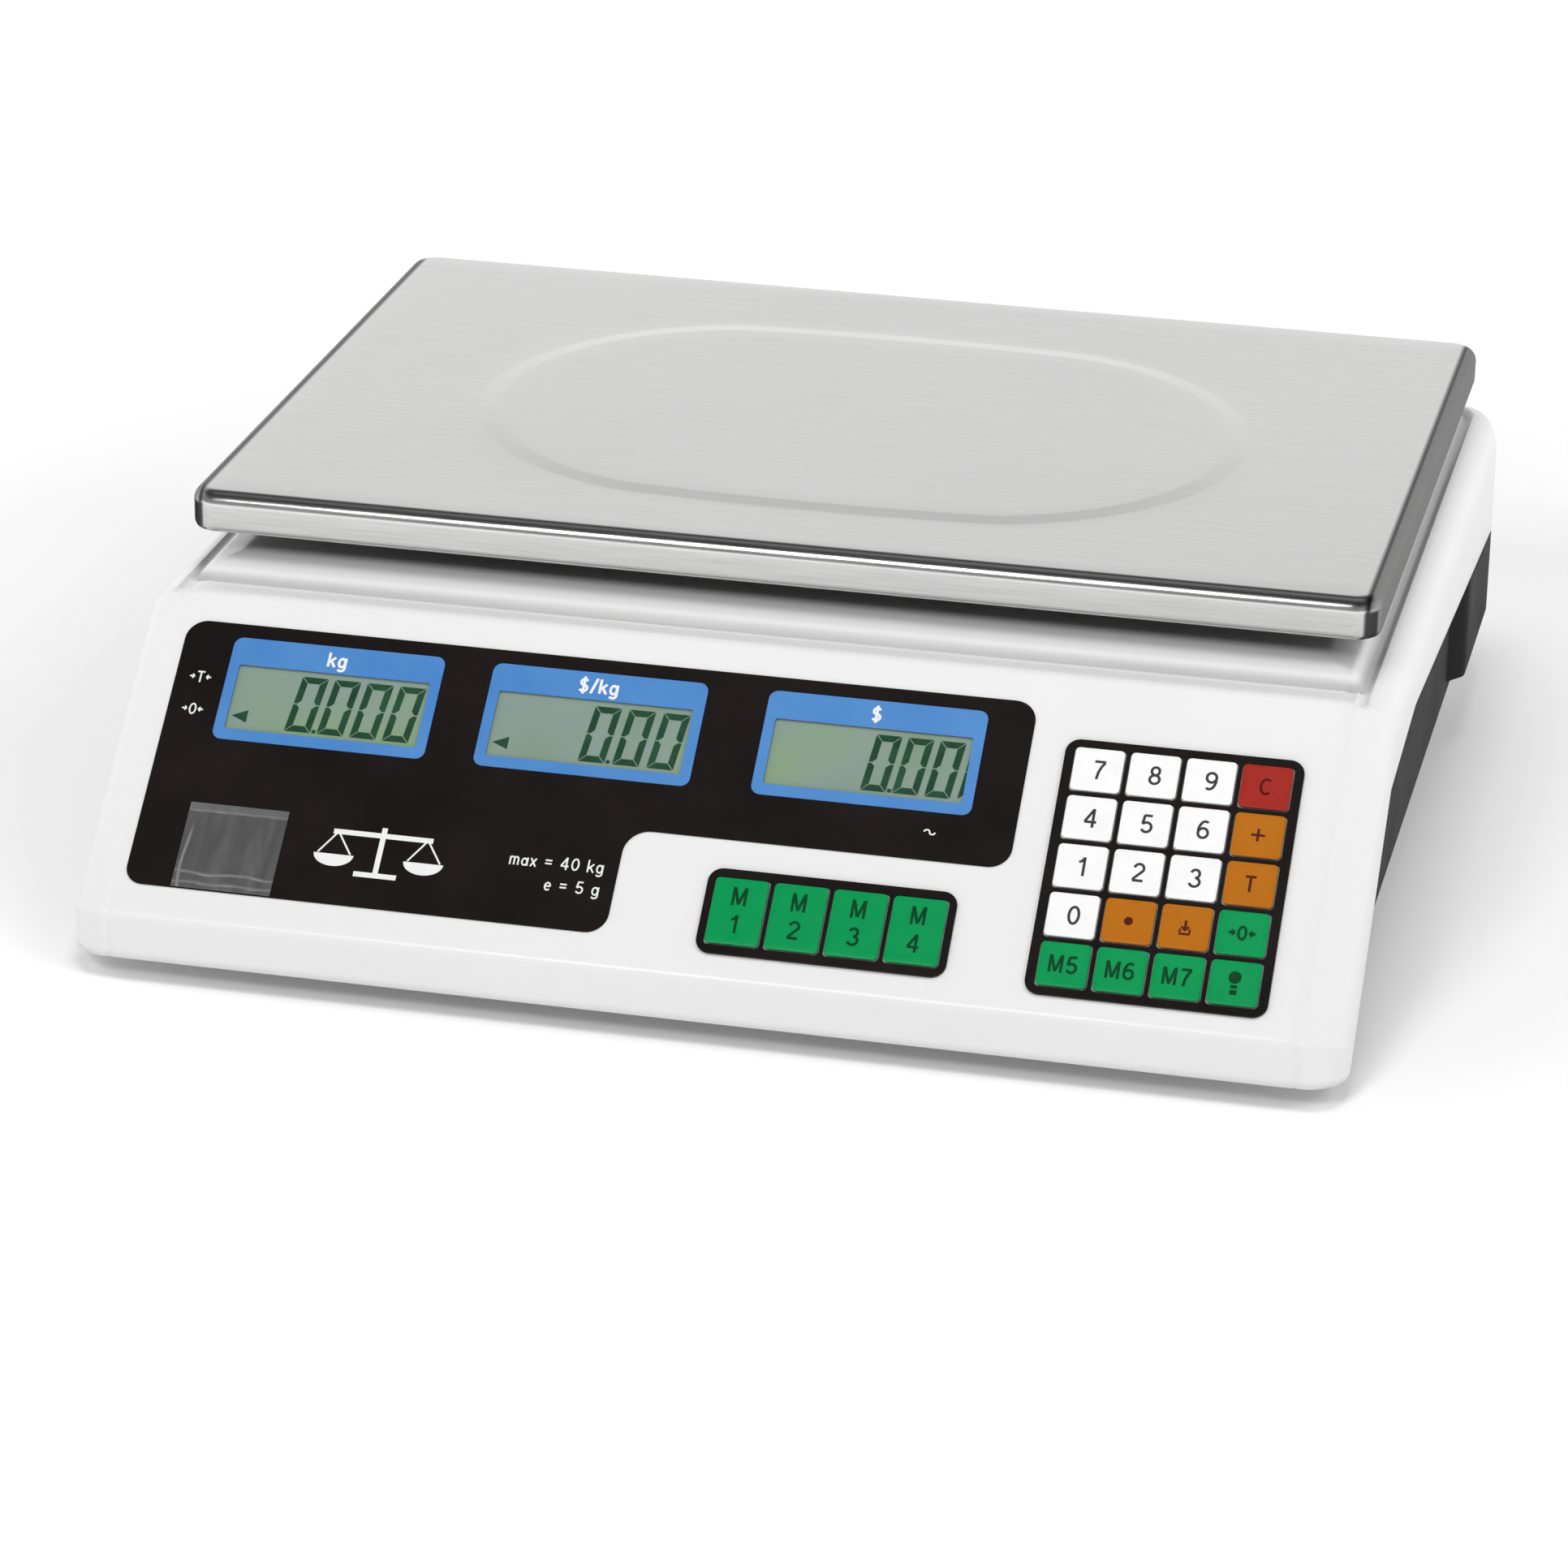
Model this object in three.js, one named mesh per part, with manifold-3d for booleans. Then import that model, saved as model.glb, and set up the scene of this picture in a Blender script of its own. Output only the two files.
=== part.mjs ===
// A counter-top price-computing scale: a white shell with a sloping control face, a black base
// tray on four levelling feet, and a stainless steel platter carried by a single load cell.
// Millimetres, +Z up. X runs to the user's right and -Y faces the user. The origin is on the
// table, under the middle of the housing's footprint.

import * as THREE from "three";
import { mergeVertices } from "three/addons/utils/BufferGeometryUtils.js";
import Module from "manifold-3d";

const wasm = await Module();
wasm.setup();

// ---------------------------------------------------------------- driving dimensions

const WIDTH = 350;
const DEPTH = 330;
const TOTAL_HEIGHT = 110;
const HALF_W = WIDTH / 2;
const HALF_D = DEPTH / 2;
const WALL = 3;
const GAP = 0.3; // assembly gap between pieces that touch

// Top housing, in side view
const EDGE_R = 12; // round edge that runs down both sides of the shell
const LIP_Z = 7; // underside of the front lip
const CREASE_Z = 20; // where the front lip turns into the sloping face
const SLOPE = THREE.MathUtils.degToRad(41);
const SLOPE_LENGTH = 98.2;
const LEDGE_Z = 86; // ledge that runs round the raised plateau
const PLATEAU_Z = 91;
const SLOPE_TOP_Y = -HALF_D + SLOPE_LENGTH * Math.cos(SLOPE);
const SIDE_FLAT = HALF_W - EDGE_R; // half width of the flat part of the face

// Plateau under the platter
const RISER_FOOT = { x: 164, front: -81, back: 158, r: 3.5 };
const RISER_RUN = 10;
const GROOVE = { width: 2, depth: 1.2 };

// Platter and what carries it
const PLATTER = { w: 335, d: 230, y: 40, skirt: 12, r: 8, edge: 4, sheet: 1.2 };
const POST = { x: 110, y: 70, r: 6, hole: 9 };
const CELL = { length: 130, width: 30, height: 22, z: 48 };
const ARM_Z = 72;
const ARM_T = 8;

// Base tray
const BASE_Z = 18;
const BASE_W = 340.6;
const BASE_BACK = 160.3;
const BLOCK = { front: 96, z: 23 }; // wider band round the back of the tray
const FOOT = { x: 145, front: -95, back: 130, r: 16, stud: 4, height: 17.4 };
const FOOT_BOSS = { r: 8, height: 15 };

// Back panel fittings
const INLET = { x: -112, z: 35.5 };
const SWITCH = { x: -68, z: 35.5 };
const ROCKER_TILT = THREE.MathUtils.degToRad(8);

// Sloping face: u runs along X, v runs up the slope from the crease
const OVERLAY = { left: -160, right: 79.5, bottom: 9.5, top: 91, stepU: -25, stepV: 41, r: 5, stepR: 7 };
const LEVEL = { u: -132.5, top: 35.5, w: 28 };
const LCD = { w: 60.5, h: 31.5, v: 71, r: 3, seenW: 54.6, seenH: 19.9, seenV: 68.5, glassW: 57, glassH: 22.4 };
const LCDS = [
  { name: "weight", u: -115.3 },
  { name: "unit_price", u: -41 },
  { name: "total", u: 36.5 },
];
const KEYPAD = { u: 121.2, v: 43.4, w: 64.4, h: 75.4, r: 4, keyW: 13.6, keyH: 12.9, pitchU: 15.1, pitchV: 14.4 };
const MEMORY = { u: 33.8, v: 19.7, w: 67.8, h: 25, r: 4, keyW: 14.6, keyH: 19.4, pitchU: 16.2 };
const FACE_T = 0.8; // printed overlay and key frames
const KEY = { low: 0.9, high: 1.9, r: 1.2, clear: 0.3 };

// ---------------------------------------------------------------- materials

const paint = (color, roughness, metalness = 0, extra = {}) =>
  new THREE.MeshStandardMaterial({ color, roughness, metalness, ...extra });

const WHITE_ABS = paint(0xf0f0ee, 0.38);
const BLACK_ABS = paint(0x26272a, 0.55);
const STAINLESS = paint(0xc9cacb, 0.28, 1);
const ALUMINIUM = paint(0xb9bbbe, 0.45, 1);
const ZINC_STEEL = paint(0xaeb0b2, 0.4, 1);
const PRINT_BLACK = paint(0x191714, 0.3);
const PRINT_BLUE = paint(0x3f83c8, 0.3);
const LCD_GLASS = paint(0x8ba27e, 0.15);
const SMOKED = paint(0x55555a, 0.1, 0, { transparent: true, opacity: 0.5 });
const CLEAR_ACRYLIC = paint(0xcfe3a0, 0.1, 0, { transparent: true, opacity: 0.6 });
const KEY_WHITE = paint(0xf6f6f6, 0.35);
const KEY_RED = paint(0xb8322c, 0.35);
const KEY_ORANGE = paint(0xc07a2c, 0.35);
const KEY_GREEN = paint(0x069a4c, 0.35);
const RUBBER = paint(0x1b1b1c, 0.85);
const CIRCUIT = paint(0x1f5a34, 0.5);
const BATTERY_GREY = paint(0x55585c, 0.5);
const IRON = paint(0x77797c, 0.5, 0.6);

// ---------------------------------------------------------------- shape helpers

// A closed geometry as a manifold-3d solid, moved by an optional matrix.
function solid(geometry, matrix) {
  const bare = geometry.clone();
  bare.deleteAttribute("normal");
  bare.deleteAttribute("uv");
  if (matrix) bare.applyMatrix4(matrix);
  const merged = mergeVertices(bare, 1e-4);
  return new wasm.Manifold(
    new wasm.Mesh({
      numProp: 3,
      vertProperties: merged.attributes.position.array,
      triVerts: new Uint32Array(merged.index.array),
    }),
  );
}

// A manifold-3d solid as a geometry.
function geometryOf(made) {
  const mesh = made.getMesh();
  const geometry = new THREE.BufferGeometry();
  geometry.setAttribute("position", new THREE.BufferAttribute(mesh.vertProperties, 3));
  geometry.setIndex(new THREE.BufferAttribute(mesh.triVerts, 1));
  geometry.computeVertexNormals();
  return geometry;
}

const at = (x, y, z) => new THREE.Matrix4().makeTranslation(x, y, z);

// Box between two corners.
function box([x0, y0, z0], [x1, y1, z1]) {
  const middle = at((x0 + x1) / 2, (y0 + y1) / 2, (z0 + z1) / 2);
  return solid(new THREE.BoxGeometry(x1 - x0, y1 - y0, z1 - z0), middle);
}

// Upright round bar from z0 to z1.
function bar(x, y, z0, z1, r, sides = 16) {
  const turned = new THREE.CylinderGeometry(r, r, z1 - z0, sides).rotateX(Math.PI / 2);
  return solid(turned, at(x, y, (z0 + z1) / 2));
}

// Rectangle with round corners, centred on (x, y).
function roundRect(w, h, r, x = 0, y = 0) {
  const shape = new THREE.Shape();
  const [a, b] = [w / 2 - r, h / 2 - r];
  const corners = [[a, b, 0], [-a, b, 1], [-a, -b, 2], [a, -b, 3]];
  shape.moveTo(x + w / 2, y + b);
  for (const [cx, cy, quarter] of corners) {
    shape.absarc(x + cx, y + cy, r, (quarter * Math.PI) / 2, ((quarter + 1) * Math.PI) / 2, false);
  }
  return shape;
}

// Flat plate of a shape between two heights.
function plate(shape, z0, z1, curveSegments = 4) {
  const flat = { depth: z1 - z0, bevelEnabled: false, curveSegments };
  return solid(new THREE.ExtrudeGeometry(shape, flat), at(0, 0, z0));
}

// Prism of a side-view outline [y, z], between x0 and x1.
function sidePrism(outline, x0, x1) {
  const shape = new THREE.Shape(outline.map(([y, z]) => new THREE.Vector2(y, z)));
  const made = new THREE.ExtrudeGeometry(shape, { depth: x1 - x0, bevelEnabled: false });
  const axes = new THREE.Matrix4().set(0, 0, 1, x0, 1, 0, 0, 0, 0, 1, 0, 0, 0, 0, 0, 1);
  return solid(made, axes);
}

// Body through equal-length loops of [x, y, z] points, closed with flat ends. flat drops one axis.
function loft(loops, flat) {
  const count = loops[0].length;
  const positions = loops.flat(2);
  const faces = [];
  loops.slice(1).forEach((_, row) => {
    for (let i = 0; i < count; i++) {
      const j = (i + 1) % count;
      const [a, b] = [row * count + i, row * count + j];
      faces.push([a, b, b + count], [a, b + count, a + count]);
    }
  });
  const end = THREE.ShapeUtils.triangulateShape(loops[0].map(flat), []);
  const last = (loops.length - 1) * count;
  const forwards = THREE.ShapeUtils.area(loops[0].map(flat)) > 0;
  for (const [a, b, c] of end) {
    faces.push(forwards ? [a, c, b] : [a, b, c]);
    faces.push(forwards ? [last + a, last + b, last + c] : [last + a, last + c, last + b]);
  }
  const geometry = new THREE.BufferGeometry();
  geometry.setAttribute("position", new THREE.Float32BufferAttribute(positions, 3));
  geometry.setIndex((forwards ? faces : faces.map(([a, b, c]) => [a, b, c])).flat());
  return solid(geometry);
}

// Corners [y, z, radius] of a convex outline, moved in by inset and rounded, as [y, z] points.
function roundedOutline(corners, inset, steps = 4) {
  const lines = corners.map(([y, z], i) => {
    const [y2, z2] = corners[(i + 1) % corners.length];
    const along = new THREE.Vector2(y2 - y, z2 - z).normalize();
    const inward = new THREE.Vector2(-along.y, along.x);
    return { point: new THREE.Vector2(y, z).addScaledVector(inward, inset), along };
  });
  return corners.flatMap(([, , radius], i) => {
    const before = lines[(i + corners.length - 1) % corners.length];
    const after = lines[i];
    const cross = before.along.cross(after.along);
    const reach = after.point.clone().sub(before.point).cross(after.along) / cross;
    const corner = before.point.clone().addScaledVector(before.along, reach);
    const r = Math.max(radius - inset, 0.3);
    const turn = Math.atan2(cross, before.along.dot(after.along));
    const inward = new THREE.Vector2(-before.along.y, before.along.x);
    const centre = corner
      .clone()
      .addScaledVector(before.along, -r * Math.tan(turn / 2))
      .addScaledVector(inward, r);
    return Array.from({ length: steps + 1 }, (_, k) => {
      const out = inward.clone().negate().rotateAround(new THREE.Vector2(), (turn * k) / steps);
      const p = centre.clone().addScaledVector(out, r);
      return [p.x, p.y];
    });
  });
}

// The shell's outer form moved in by a skin thickness: a side outline that runs across the
// width and draws in over a quarter circle at each side.
function shellForm(corners, skin) {
  const r = EDGE_R - skin;
  const steps = 4;
  const quarter = Array.from({ length: steps + 1 }, (_, k) => (k * Math.PI) / 2 / steps);
  const half = quarter.map((t) => ({ x: SIDE_FLAT + r * Math.sin(t), inset: skin + r * (1 - Math.cos(t)) }));
  const stations = [...half.toReversed().map(({ x, inset }) => ({ x: -x, inset })), ...half];
  const loops = stations.map(({ x, inset }) => roundedOutline(corners, inset).map(([y, z]) => [x, y, z]));
  return loft(loops, ([, y, z]) => new THREE.Vector2(y, z));
}

// Frustum between two rounded rectangles {w, d, r, y} at heights z0 and z1.
function riser(low, z0, high, z1) {
  const loop = ({ w, d, r, y }, z) => roundRect(w, d, r, 0, y).getPoints(4).map((p) => [p.x, p.y, z]);
  const unclosed = (points) => points.slice(0, -1);
  return loft([unclosed(loop(low, z0)), unclosed(loop(high, z1))], ([x, y]) => new THREE.Vector2(x, y));
}

// ---------------------------------------------------------------- the assembly

const scale = new THREE.Group();
scale.name = "price_computing_scale";

// Everything on the sloping face: x is u, y is v and z stands off the face.
const face = new THREE.Group();
face.position.set(0, -HALF_D, CREASE_Z);
face.rotation.x = SLOPE;
scale.add(face);
face.updateMatrix();
const FACE = face.matrix.clone();
const onFace = (made) => solid(geometryOf(made), FACE);

function add(name, made, material, parent = scale) {
  const mesh = new THREE.Mesh(made.isBufferGeometry ? made : geometryOf(made), material);
  mesh.name = name;
  parent.add(mesh);
  return mesh;
}

// Rows of key names, top to bottom, with each key's finish.
const KEY_ROWS = [
  [["key_7", KEY_WHITE], ["key_8", KEY_WHITE], ["key_9", KEY_WHITE], ["key_clear", KEY_RED]],
  [["key_4", KEY_WHITE], ["key_5", KEY_WHITE], ["key_6", KEY_WHITE], ["key_add", KEY_ORANGE]],
  [["key_1", KEY_WHITE], ["key_2", KEY_WHITE], ["key_3", KEY_WHITE], ["key_tare", KEY_ORANGE]],
  [["key_0", KEY_WHITE], ["key_point", KEY_ORANGE], ["key_save", KEY_ORANGE], ["key_zero", KEY_GREEN]],
  [["key_m5", KEY_GREEN], ["key_m6", KEY_GREEN], ["key_m7", KEY_GREEN], ["key_light", KEY_GREEN]],
];
const MEMORY_ROW = ["key_m1", "key_m2", "key_m3", "key_m4"].map((name) => [name, KEY_GREEN]);

// Each key's place on the face, from the middle of its block.
function keyPlaces(rows, { u, v, pitchU, pitchV = 0 }) {
  return rows.flatMap((row, j) =>
    row.map(([name, material], i) => ({
      name,
      material,
      u: u + (i - (row.length - 1) / 2) * pitchU,
      v: v - (j - (rows.length - 1) / 2) * pitchV,
    })),
  );
}
const KEYPAD_KEYS = keyPlaces(KEY_ROWS, KEYPAD);
const MEMORY_KEYS = keyPlaces([MEMORY_ROW], MEMORY);

// ---------------------------------------------------------------- top housing

// Side view of the shell: front wall, sloping face, ledge and back wall. It runs on down past
// the lower edge, which trims it.
const SHELL_CORNERS = [
  [-HALF_D, -30, 0],
  [HALF_D, -30, 0],
  [HALF_D, LEDGE_Z, 3],
  [SLOPE_TOP_Y + (LEDGE_Z - CREASE_Z - SLOPE_LENGTH * Math.sin(SLOPE)) / Math.tan(SLOPE), LEDGE_Z, 9],
  [-HALF_D, CREASE_Z, 3],
];

// Lower edge of the shell in side view, from the back to the front lip.
const LOWER_EDGE = [
  [HALF_D, 49],
  [-41, 68],
  [-92, 63],
  [-149, 9],
  [-151, LIP_Z],
  [-HALF_D, LIP_Z],
];

function plateauForm(grow, drop) {
  const { x, front, back, r } = RISER_FOOT;
  const round = Math.max(r + grow, 0.5);
  const foot = { w: 2 * (x + grow), d: back - front + 2 * grow, r: round, y: (front + back) / 2 };
  const top = { ...foot, w: foot.w - 2 * RISER_RUN, d: foot.d - 2 * RISER_RUN };
  return riser(foot, LEDGE_Z - drop, top, PLATEAU_Z - drop);
}

// Groove at the foot of the riser.
function grooveForm() {
  const { x, front, back, r } = RISER_FOOT;
  const ring = (grow) =>
    roundRect(2 * (x + grow), back - front + 2 * grow, r + grow, 0, (front + back) / 2);
  const outside = plate(ring(GROOVE.width), LEDGE_Z - GROOVE.depth, LEDGE_Z + 1);
  return outside.subtract(plate(ring(0), LEDGE_Z - 2 * GROOVE.depth, LEDGE_Z + 2));
}

function topHousing() {
  const below = [[HALF_D + 10, -50], [-HALF_D - 10, -50], [-HALF_D - 10, LIP_Z], ...LOWER_EDGE.toReversed()];
  below.push([HALF_D + 10, LOWER_EDGE[0][1]]);
  let shell = shellForm(SHELL_CORNERS, 0)
    .subtract(shellForm(SHELL_CORNERS, WALL))
    .subtract(sidePrism(below.toReversed(), -HALF_W - 10, HALF_W + 10));
  shell = shell
    .subtract(grooveForm())
    .add(plateauForm(0, 0.5))
    .subtract(plateauForm(-WALL, WALL + 0.5));
  const roof = box([-140, -60, LEDGE_Z - WALL - 1], [140, 138, LEDGE_Z]);
  shell = shell.subtract(roof);
  for (const sx of [-1, 1]) {
    for (const sy of [-1, 1]) {
      shell = shell.subtract(bar(sx * POST.x, PLATTER.y + sy * POST.y, 80, 100, POST.hole));
    }
  }
  for (const { u } of LCDS) {
    const opening = [LCD.glassW / 2 + 1, LCD.glassH / 2 + 1];
    const [cu, cv] = [u, LCD.seenV];
    const low = [cu - opening[0], cv - opening[1], -8];
    const high = [cu + opening[0], cv + opening[1], 5];
    shell = shell.subtract(onFace(box(low, high)));
  }
  const peep = box([LEVEL.u - 12, 13, -8], [LEVEL.u + 12, 33, 5]);
  return shell.subtract(onFace(peep));
}

// ---------------------------------------------------------------- base tray

function baseTray() {
  const side = [
    [-160, BASE_Z],
    [BASE_BACK, BASE_Z],
    [BASE_BACK, 52],
    [-41, 71],
    [-98, 68.5],
    [-155, 19.2],
    [-160, 19.2],
  ];
  const plan = roundRect(BASE_W, BASE_BACK + 160, 9, 0, (BASE_BACK - 160) / 2);
  let tray = sidePrism(side, -HALF_W, HALF_W).intersect(plate(plan, 0, 100));
  const bandTop = (y) => LOWER_EDGE[0][1] + ((LOWER_EDGE[1][1] - LOWER_EDGE[0][1]) * (HALF_D - y)) / (HALF_D + 41);
  const band = [
    [BLOCK.front, BLOCK.z],
    [HALF_D, BLOCK.z],
    [HALF_D, bandTop(HALF_D) - 0.5],
    [BLOCK.front, bandTop(BLOCK.front) - 0.5],
  ];
  const outer = roundRect(WIDTH, DEPTH, EDGE_R);
  tray = tray.add(sidePrism(band, -HALF_W, HALF_W).intersect(plate(outer, 0, 100)));
  const inside = BASE_W / 2 - WALL;
  tray = tray.subtract(box([-inside, -156, BASE_Z + WALL], [inside, BASE_BACK - WALL, 100]));
  for (const [x, y] of footPlaces()) {
    tray = tray.add(bar(x, y, BASE_Z + WALL - 0.5, BASE_Z + WALL + FOOT_BOSS.height, FOOT_BOSS.r));
    tray = tray.subtract(bar(x, y, BASE_Z - 1, BASE_Z + WALL + FOOT_BOSS.height + 1, FOOT.stud + 0.5));
  }
  const pocket = ({ x, z }, w, h, y) => box([x - w / 2, y, z - h / 2], [x + w / 2, HALF_D + 5, z + h / 2]);
  return tray
    .subtract(pocket(INLET, 44, 23, 162.8))
    .subtract(pocket(INLET, 28, 20.6, 150))
    .subtract(pocket(SWITCH, 24, 17, 161.2))
    .subtract(pocket(SWITCH, 20, 13.6, 150));
}

function footPlaces() {
  return [-1, 1].flatMap((side) => [
    [side * FOOT.x, FOOT.front],
    [side * FOOT.x, FOOT.back],
  ]);
}

// Rubber foot moulded on its threaded stud.
function levellingFoot() {
  const { r, stud, height } = FOOT;
  const profile = [
    [0, 0], [r - 3, 0], [r - 1.5, 1.5], [r - 1, height - 4], [r, height - 3.5], [r, height],
    [stud, height], [stud, BASE_Z + WALL + 11], [0, BASE_Z + WALL + 11],
  ];
  return new THREE.LatheGeometry(profile.map(([x, y]) => new THREE.Vector2(x, y)), 20).rotateX(Math.PI / 2);
}

// ---------------------------------------------------------------- the face

function displayOverlay() {
  const { left, right, bottom, top, stepU, stepV, r, stepR } = OVERLAY;
  const shape = new THREE.Shape();
  const q = Math.PI / 2;
  shape.moveTo(left + r, bottom);
  shape.lineTo(LEVEL.u - LEVEL.w / 2 - GAP, bottom);
  shape.lineTo(LEVEL.u - LEVEL.w / 2 - GAP, LEVEL.top + GAP);
  shape.lineTo(LEVEL.u + LEVEL.w / 2 + GAP, LEVEL.top + GAP);
  shape.lineTo(LEVEL.u + LEVEL.w / 2 + GAP, bottom);
  shape.absarc(stepU - r, bottom + r, r, -q, 0, false);
  shape.absarc(stepU + stepR, stepV - stepR, stepR, 2 * q, q, true);
  shape.absarc(right - r, stepV + r, r, -q, 0, false);
  shape.absarc(right - r, top - r, r, 0, q, false);
  shape.absarc(left + r, top - r, r, q, 2 * q, false);
  shape.absarc(left + r, bottom + r, r, 2 * q, 3 * q, false);
  let sheet = plate(shape, GAP, GAP + FACE_T);
  for (const { u } of LCDS) {
    sheet = sheet.subtract(plate(roundRect(LCD.w + 2 * GAP, LCD.h + 2 * GAP, LCD.r, u, LCD.v), -1, 3, 3));
  }
  return sheet;
}

function windowFrame(u) {
  const blue = plate(roundRect(LCD.w, LCD.h, LCD.r, u, LCD.v), GAP, GAP + FACE_T - 0.1, 3);
  return blue.subtract(plate(roundRect(LCD.seenW, LCD.seenH, 0.8, u, LCD.seenV), -1, 3, 1));
}

// Bare LCD with its light guide behind it.
function lcdModule(u) {
  const { glassW, glassH, seenV } = LCD;
  const glass = box([u - glassW / 2, seenV - glassH / 2, -2.6], [u + glassW / 2, seenV + glassH / 2, -0.1]);
  const guide = box([u - glassW / 2 + 1, seenV - glassH / 2 + 1, -7], [u + glassW / 2 - 1, seenV + glassH / 2 - 1, -2]);
  return glass.add(guide);
}

function keyFrame({ u, v, w, h, r, keyW, keyH }, keys) {
  let frame = plate(roundRect(w, h, r, u, v), GAP, GAP + FACE_T);
  for (const key of keys) {
    const hole = roundRect(keyW + 2 * KEY.clear, keyH + 2 * KEY.clear, KEY.r, key.u, key.v);
    frame = frame.subtract(plate(hole, -1, 3, 2));
  }
  return frame;
}

function keyCap(w, h) {
  return plate(roundRect(w, h, KEY.r), KEY.low, KEY.high, 2);
}

function displayBoard() {
  const sheet = box([-150, 54, -9.2], [74, 88, -7.4]);
  const driver = box([-60, 57, -12], [-44, 69, -9]);
  return sheet.add(driver).add(box([10, 60, -12], [20, 70, -9]));
}

// Membrane switch circuit that both key blocks press on, with its flat tail.
function keyCircuit() {
  const board = box([2, 9, -6], [152, 31, -4.6]).add(box([90, 9, -6], [152, 79, -4.6]));
  return board.add(box([60, 29, -6], [72, 44, -5.2]));
}

// ---------------------------------------------------------------- platter and weighing gear

function platter() {
  const { w, d, y, skirt, r, edge, sheet } = PLATTER;
  const top = TOTAL_HEIGHT;
  const low = top - skirt;
  const ring = (inset, z) => ({ inset, z });
  const steps = 3;
  const bend = Array.from({ length: steps + 1 }, (_, k) => {
    const t = (k * Math.PI) / 2 / steps;
    return ring(edge * (1 - Math.cos(t)), top - edge + edge * Math.sin(t));
  });
  const loop = ({ inset, z }) =>
    roundRect(w - 2 * inset, d - 2 * inset, r - inset, 0, y)
      .getPoints(4)
      .slice(0, -1)
      .map((p) => [p.x, p.y, z]);
  const pan = loft([ring(0, low), ...bend].map(loop), ([px, py]) => new THREE.Vector2(px, py));
  const inside = roundRect(w - 2 * edge, d - 2 * edge, r - edge, 0, y);
  const under = roundRect(w - 2 * sheet, d - 2 * sheet, r - sheet, 0, y);
  return pan
    .subtract(plate(under, low - 5, top - edge))
    .subtract(plate(inside, low - 5, top - sheet));
}

// Cast spider: a centre pad on the cell's free end and four arms with posts.
function platterSupport() {
  const { y } = PLATTER;
  const top = ARM_Z + ARM_T;
  let cast = box([-34, y - 26, ARM_Z], [66, y + 26, top]);
  for (const sx of [-1, 1]) {
    for (const sy of [-1, 1]) {
      const [px, py] = [sx * POST.x, y + sy * POST.y];
      const reach = Math.hypot(px - 0, py - y) + 8;
      const arm = new THREE.BoxGeometry(reach, 16, ARM_T).translate(reach / 2, 0, ARM_Z + ARM_T / 2);
      const turn = new THREE.Matrix4().makeRotationZ(Math.atan2(py - y, px));
      cast = cast.add(solid(arm, at(0, y, 0).multiply(turn)));
      cast = cast.add(bar(px, py, ARM_Z + 1, 100, POST.r, 12));
    }
  }
  return cast.add(box([27, y - 15, CELL.z + CELL.height + 0.9], [64, y + 15, ARM_Z + 1]));
}

// Soft cap on a post, on which the platter rests.
function supportPad(x, y) {
  const { skirt, sheet } = PLATTER;
  const top = TOTAL_HEIGHT - sheet - GAP;
  const cap = bar(x, y, TOTAL_HEIGHT - skirt - 2, top, POST.r + 2.5, 12);
  return cap.subtract(bar(x, y, 80, 100 + GAP, POST.r + GAP, 12));
}

// Single-point load cell: a bar with a spectacle-shaped hole that lets it bend.
function loadCell() {
  const { length, width, height, z } = CELL;
  const { y } = PLATTER;
  const across = (x, r) => {
    const hole = new THREE.CylinderGeometry(r, r, width + 2, 16);
    return solid(hole, at(x, y, z + height / 2));
  };
  return box([-length / 2, y - width / 2, z], [length / 2, y + width / 2, z + height])
    .subtract(across(-13, 8))
    .subtract(across(13, 8))
    .subtract(box([-13, y - width, z + height / 2 - 2], [13, y + width, z + height / 2 + 2]));
}

// Steel plate on the tray floor with the block that holds the cell's fixed end.
function cellPlate() {
  const { y } = PLATTER;
  const floor = BASE_Z + WALL + GAP;
  return box([-80, y - 35, floor], [80, y + 35, floor + 4]).add(
    box([-64, y - 15, floor + 3], [-27, y + 15, CELL.z - GAP]),
  );
}

// Stop screw under the free end: it takes the load before the cell is overstrained.
function stopScrew() {
  const floor = BASE_Z + WALL + 4 + 2 * GAP;
  return bar(48, PLATTER.y, floor, CELL.z - 0.8, 4, 12).add(bar(48, PLATTER.y, floor, floor + 5, 7, 6));
}

// ---------------------------------------------------------------- electrical parts

const INSIDE_FLOOR = BASE_Z + WALL + GAP;

function mainBoard() {
  const z = INSIDE_FLOOR + 6;
  let board = box([-110, -112, z], [30, -40, z + 1.6]);
  for (const [x, y] of [[-104, -106], [24, -106], [-104, -46], [24, -46]]) {
    board = board.add(bar(x, y, INSIDE_FLOOR, z + 0.5, 3, 8));
  }
  const chips = [[-60, -90, 26, 14, 4], [-20, -70, 14, 14, 3], [-96, -66, 12, 22, 12], [6, -98, 14, 10, 9]];
  for (const [x, y, w, d, h] of chips) {
    board = board.add(box([x, y, z + 1], [x + w, y + d, z + 1.6 + h]));
  }
  return board;
}

function batteryPack() {
  const body = box([88, -25, INSIDE_FLOOR], [158, 76, INSIDE_FLOOR + 44]);
  const tab = (x) => box([x, -24, INSIDE_FLOOR + 43], [x + 6, -16, INSIDE_FLOOR + 48]);
  return body.add(tab(96)).add(tab(144));
}

function mainsTransformer() {
  const core = box([-152, 8, INSIDE_FLOOR + 6], [-98, 54, INSIDE_FLOOR + 36]);
  const winding = box([-146, 14, INSIDE_FLOOR + 1], [-104, 48, INSIDE_FLOOR + 44]);
  const strap = box([-160, 22, INSIDE_FLOOR], [-90, 40, INSIDE_FLOOR + 2]);
  return core.add(winding).add(strap);
}

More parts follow.
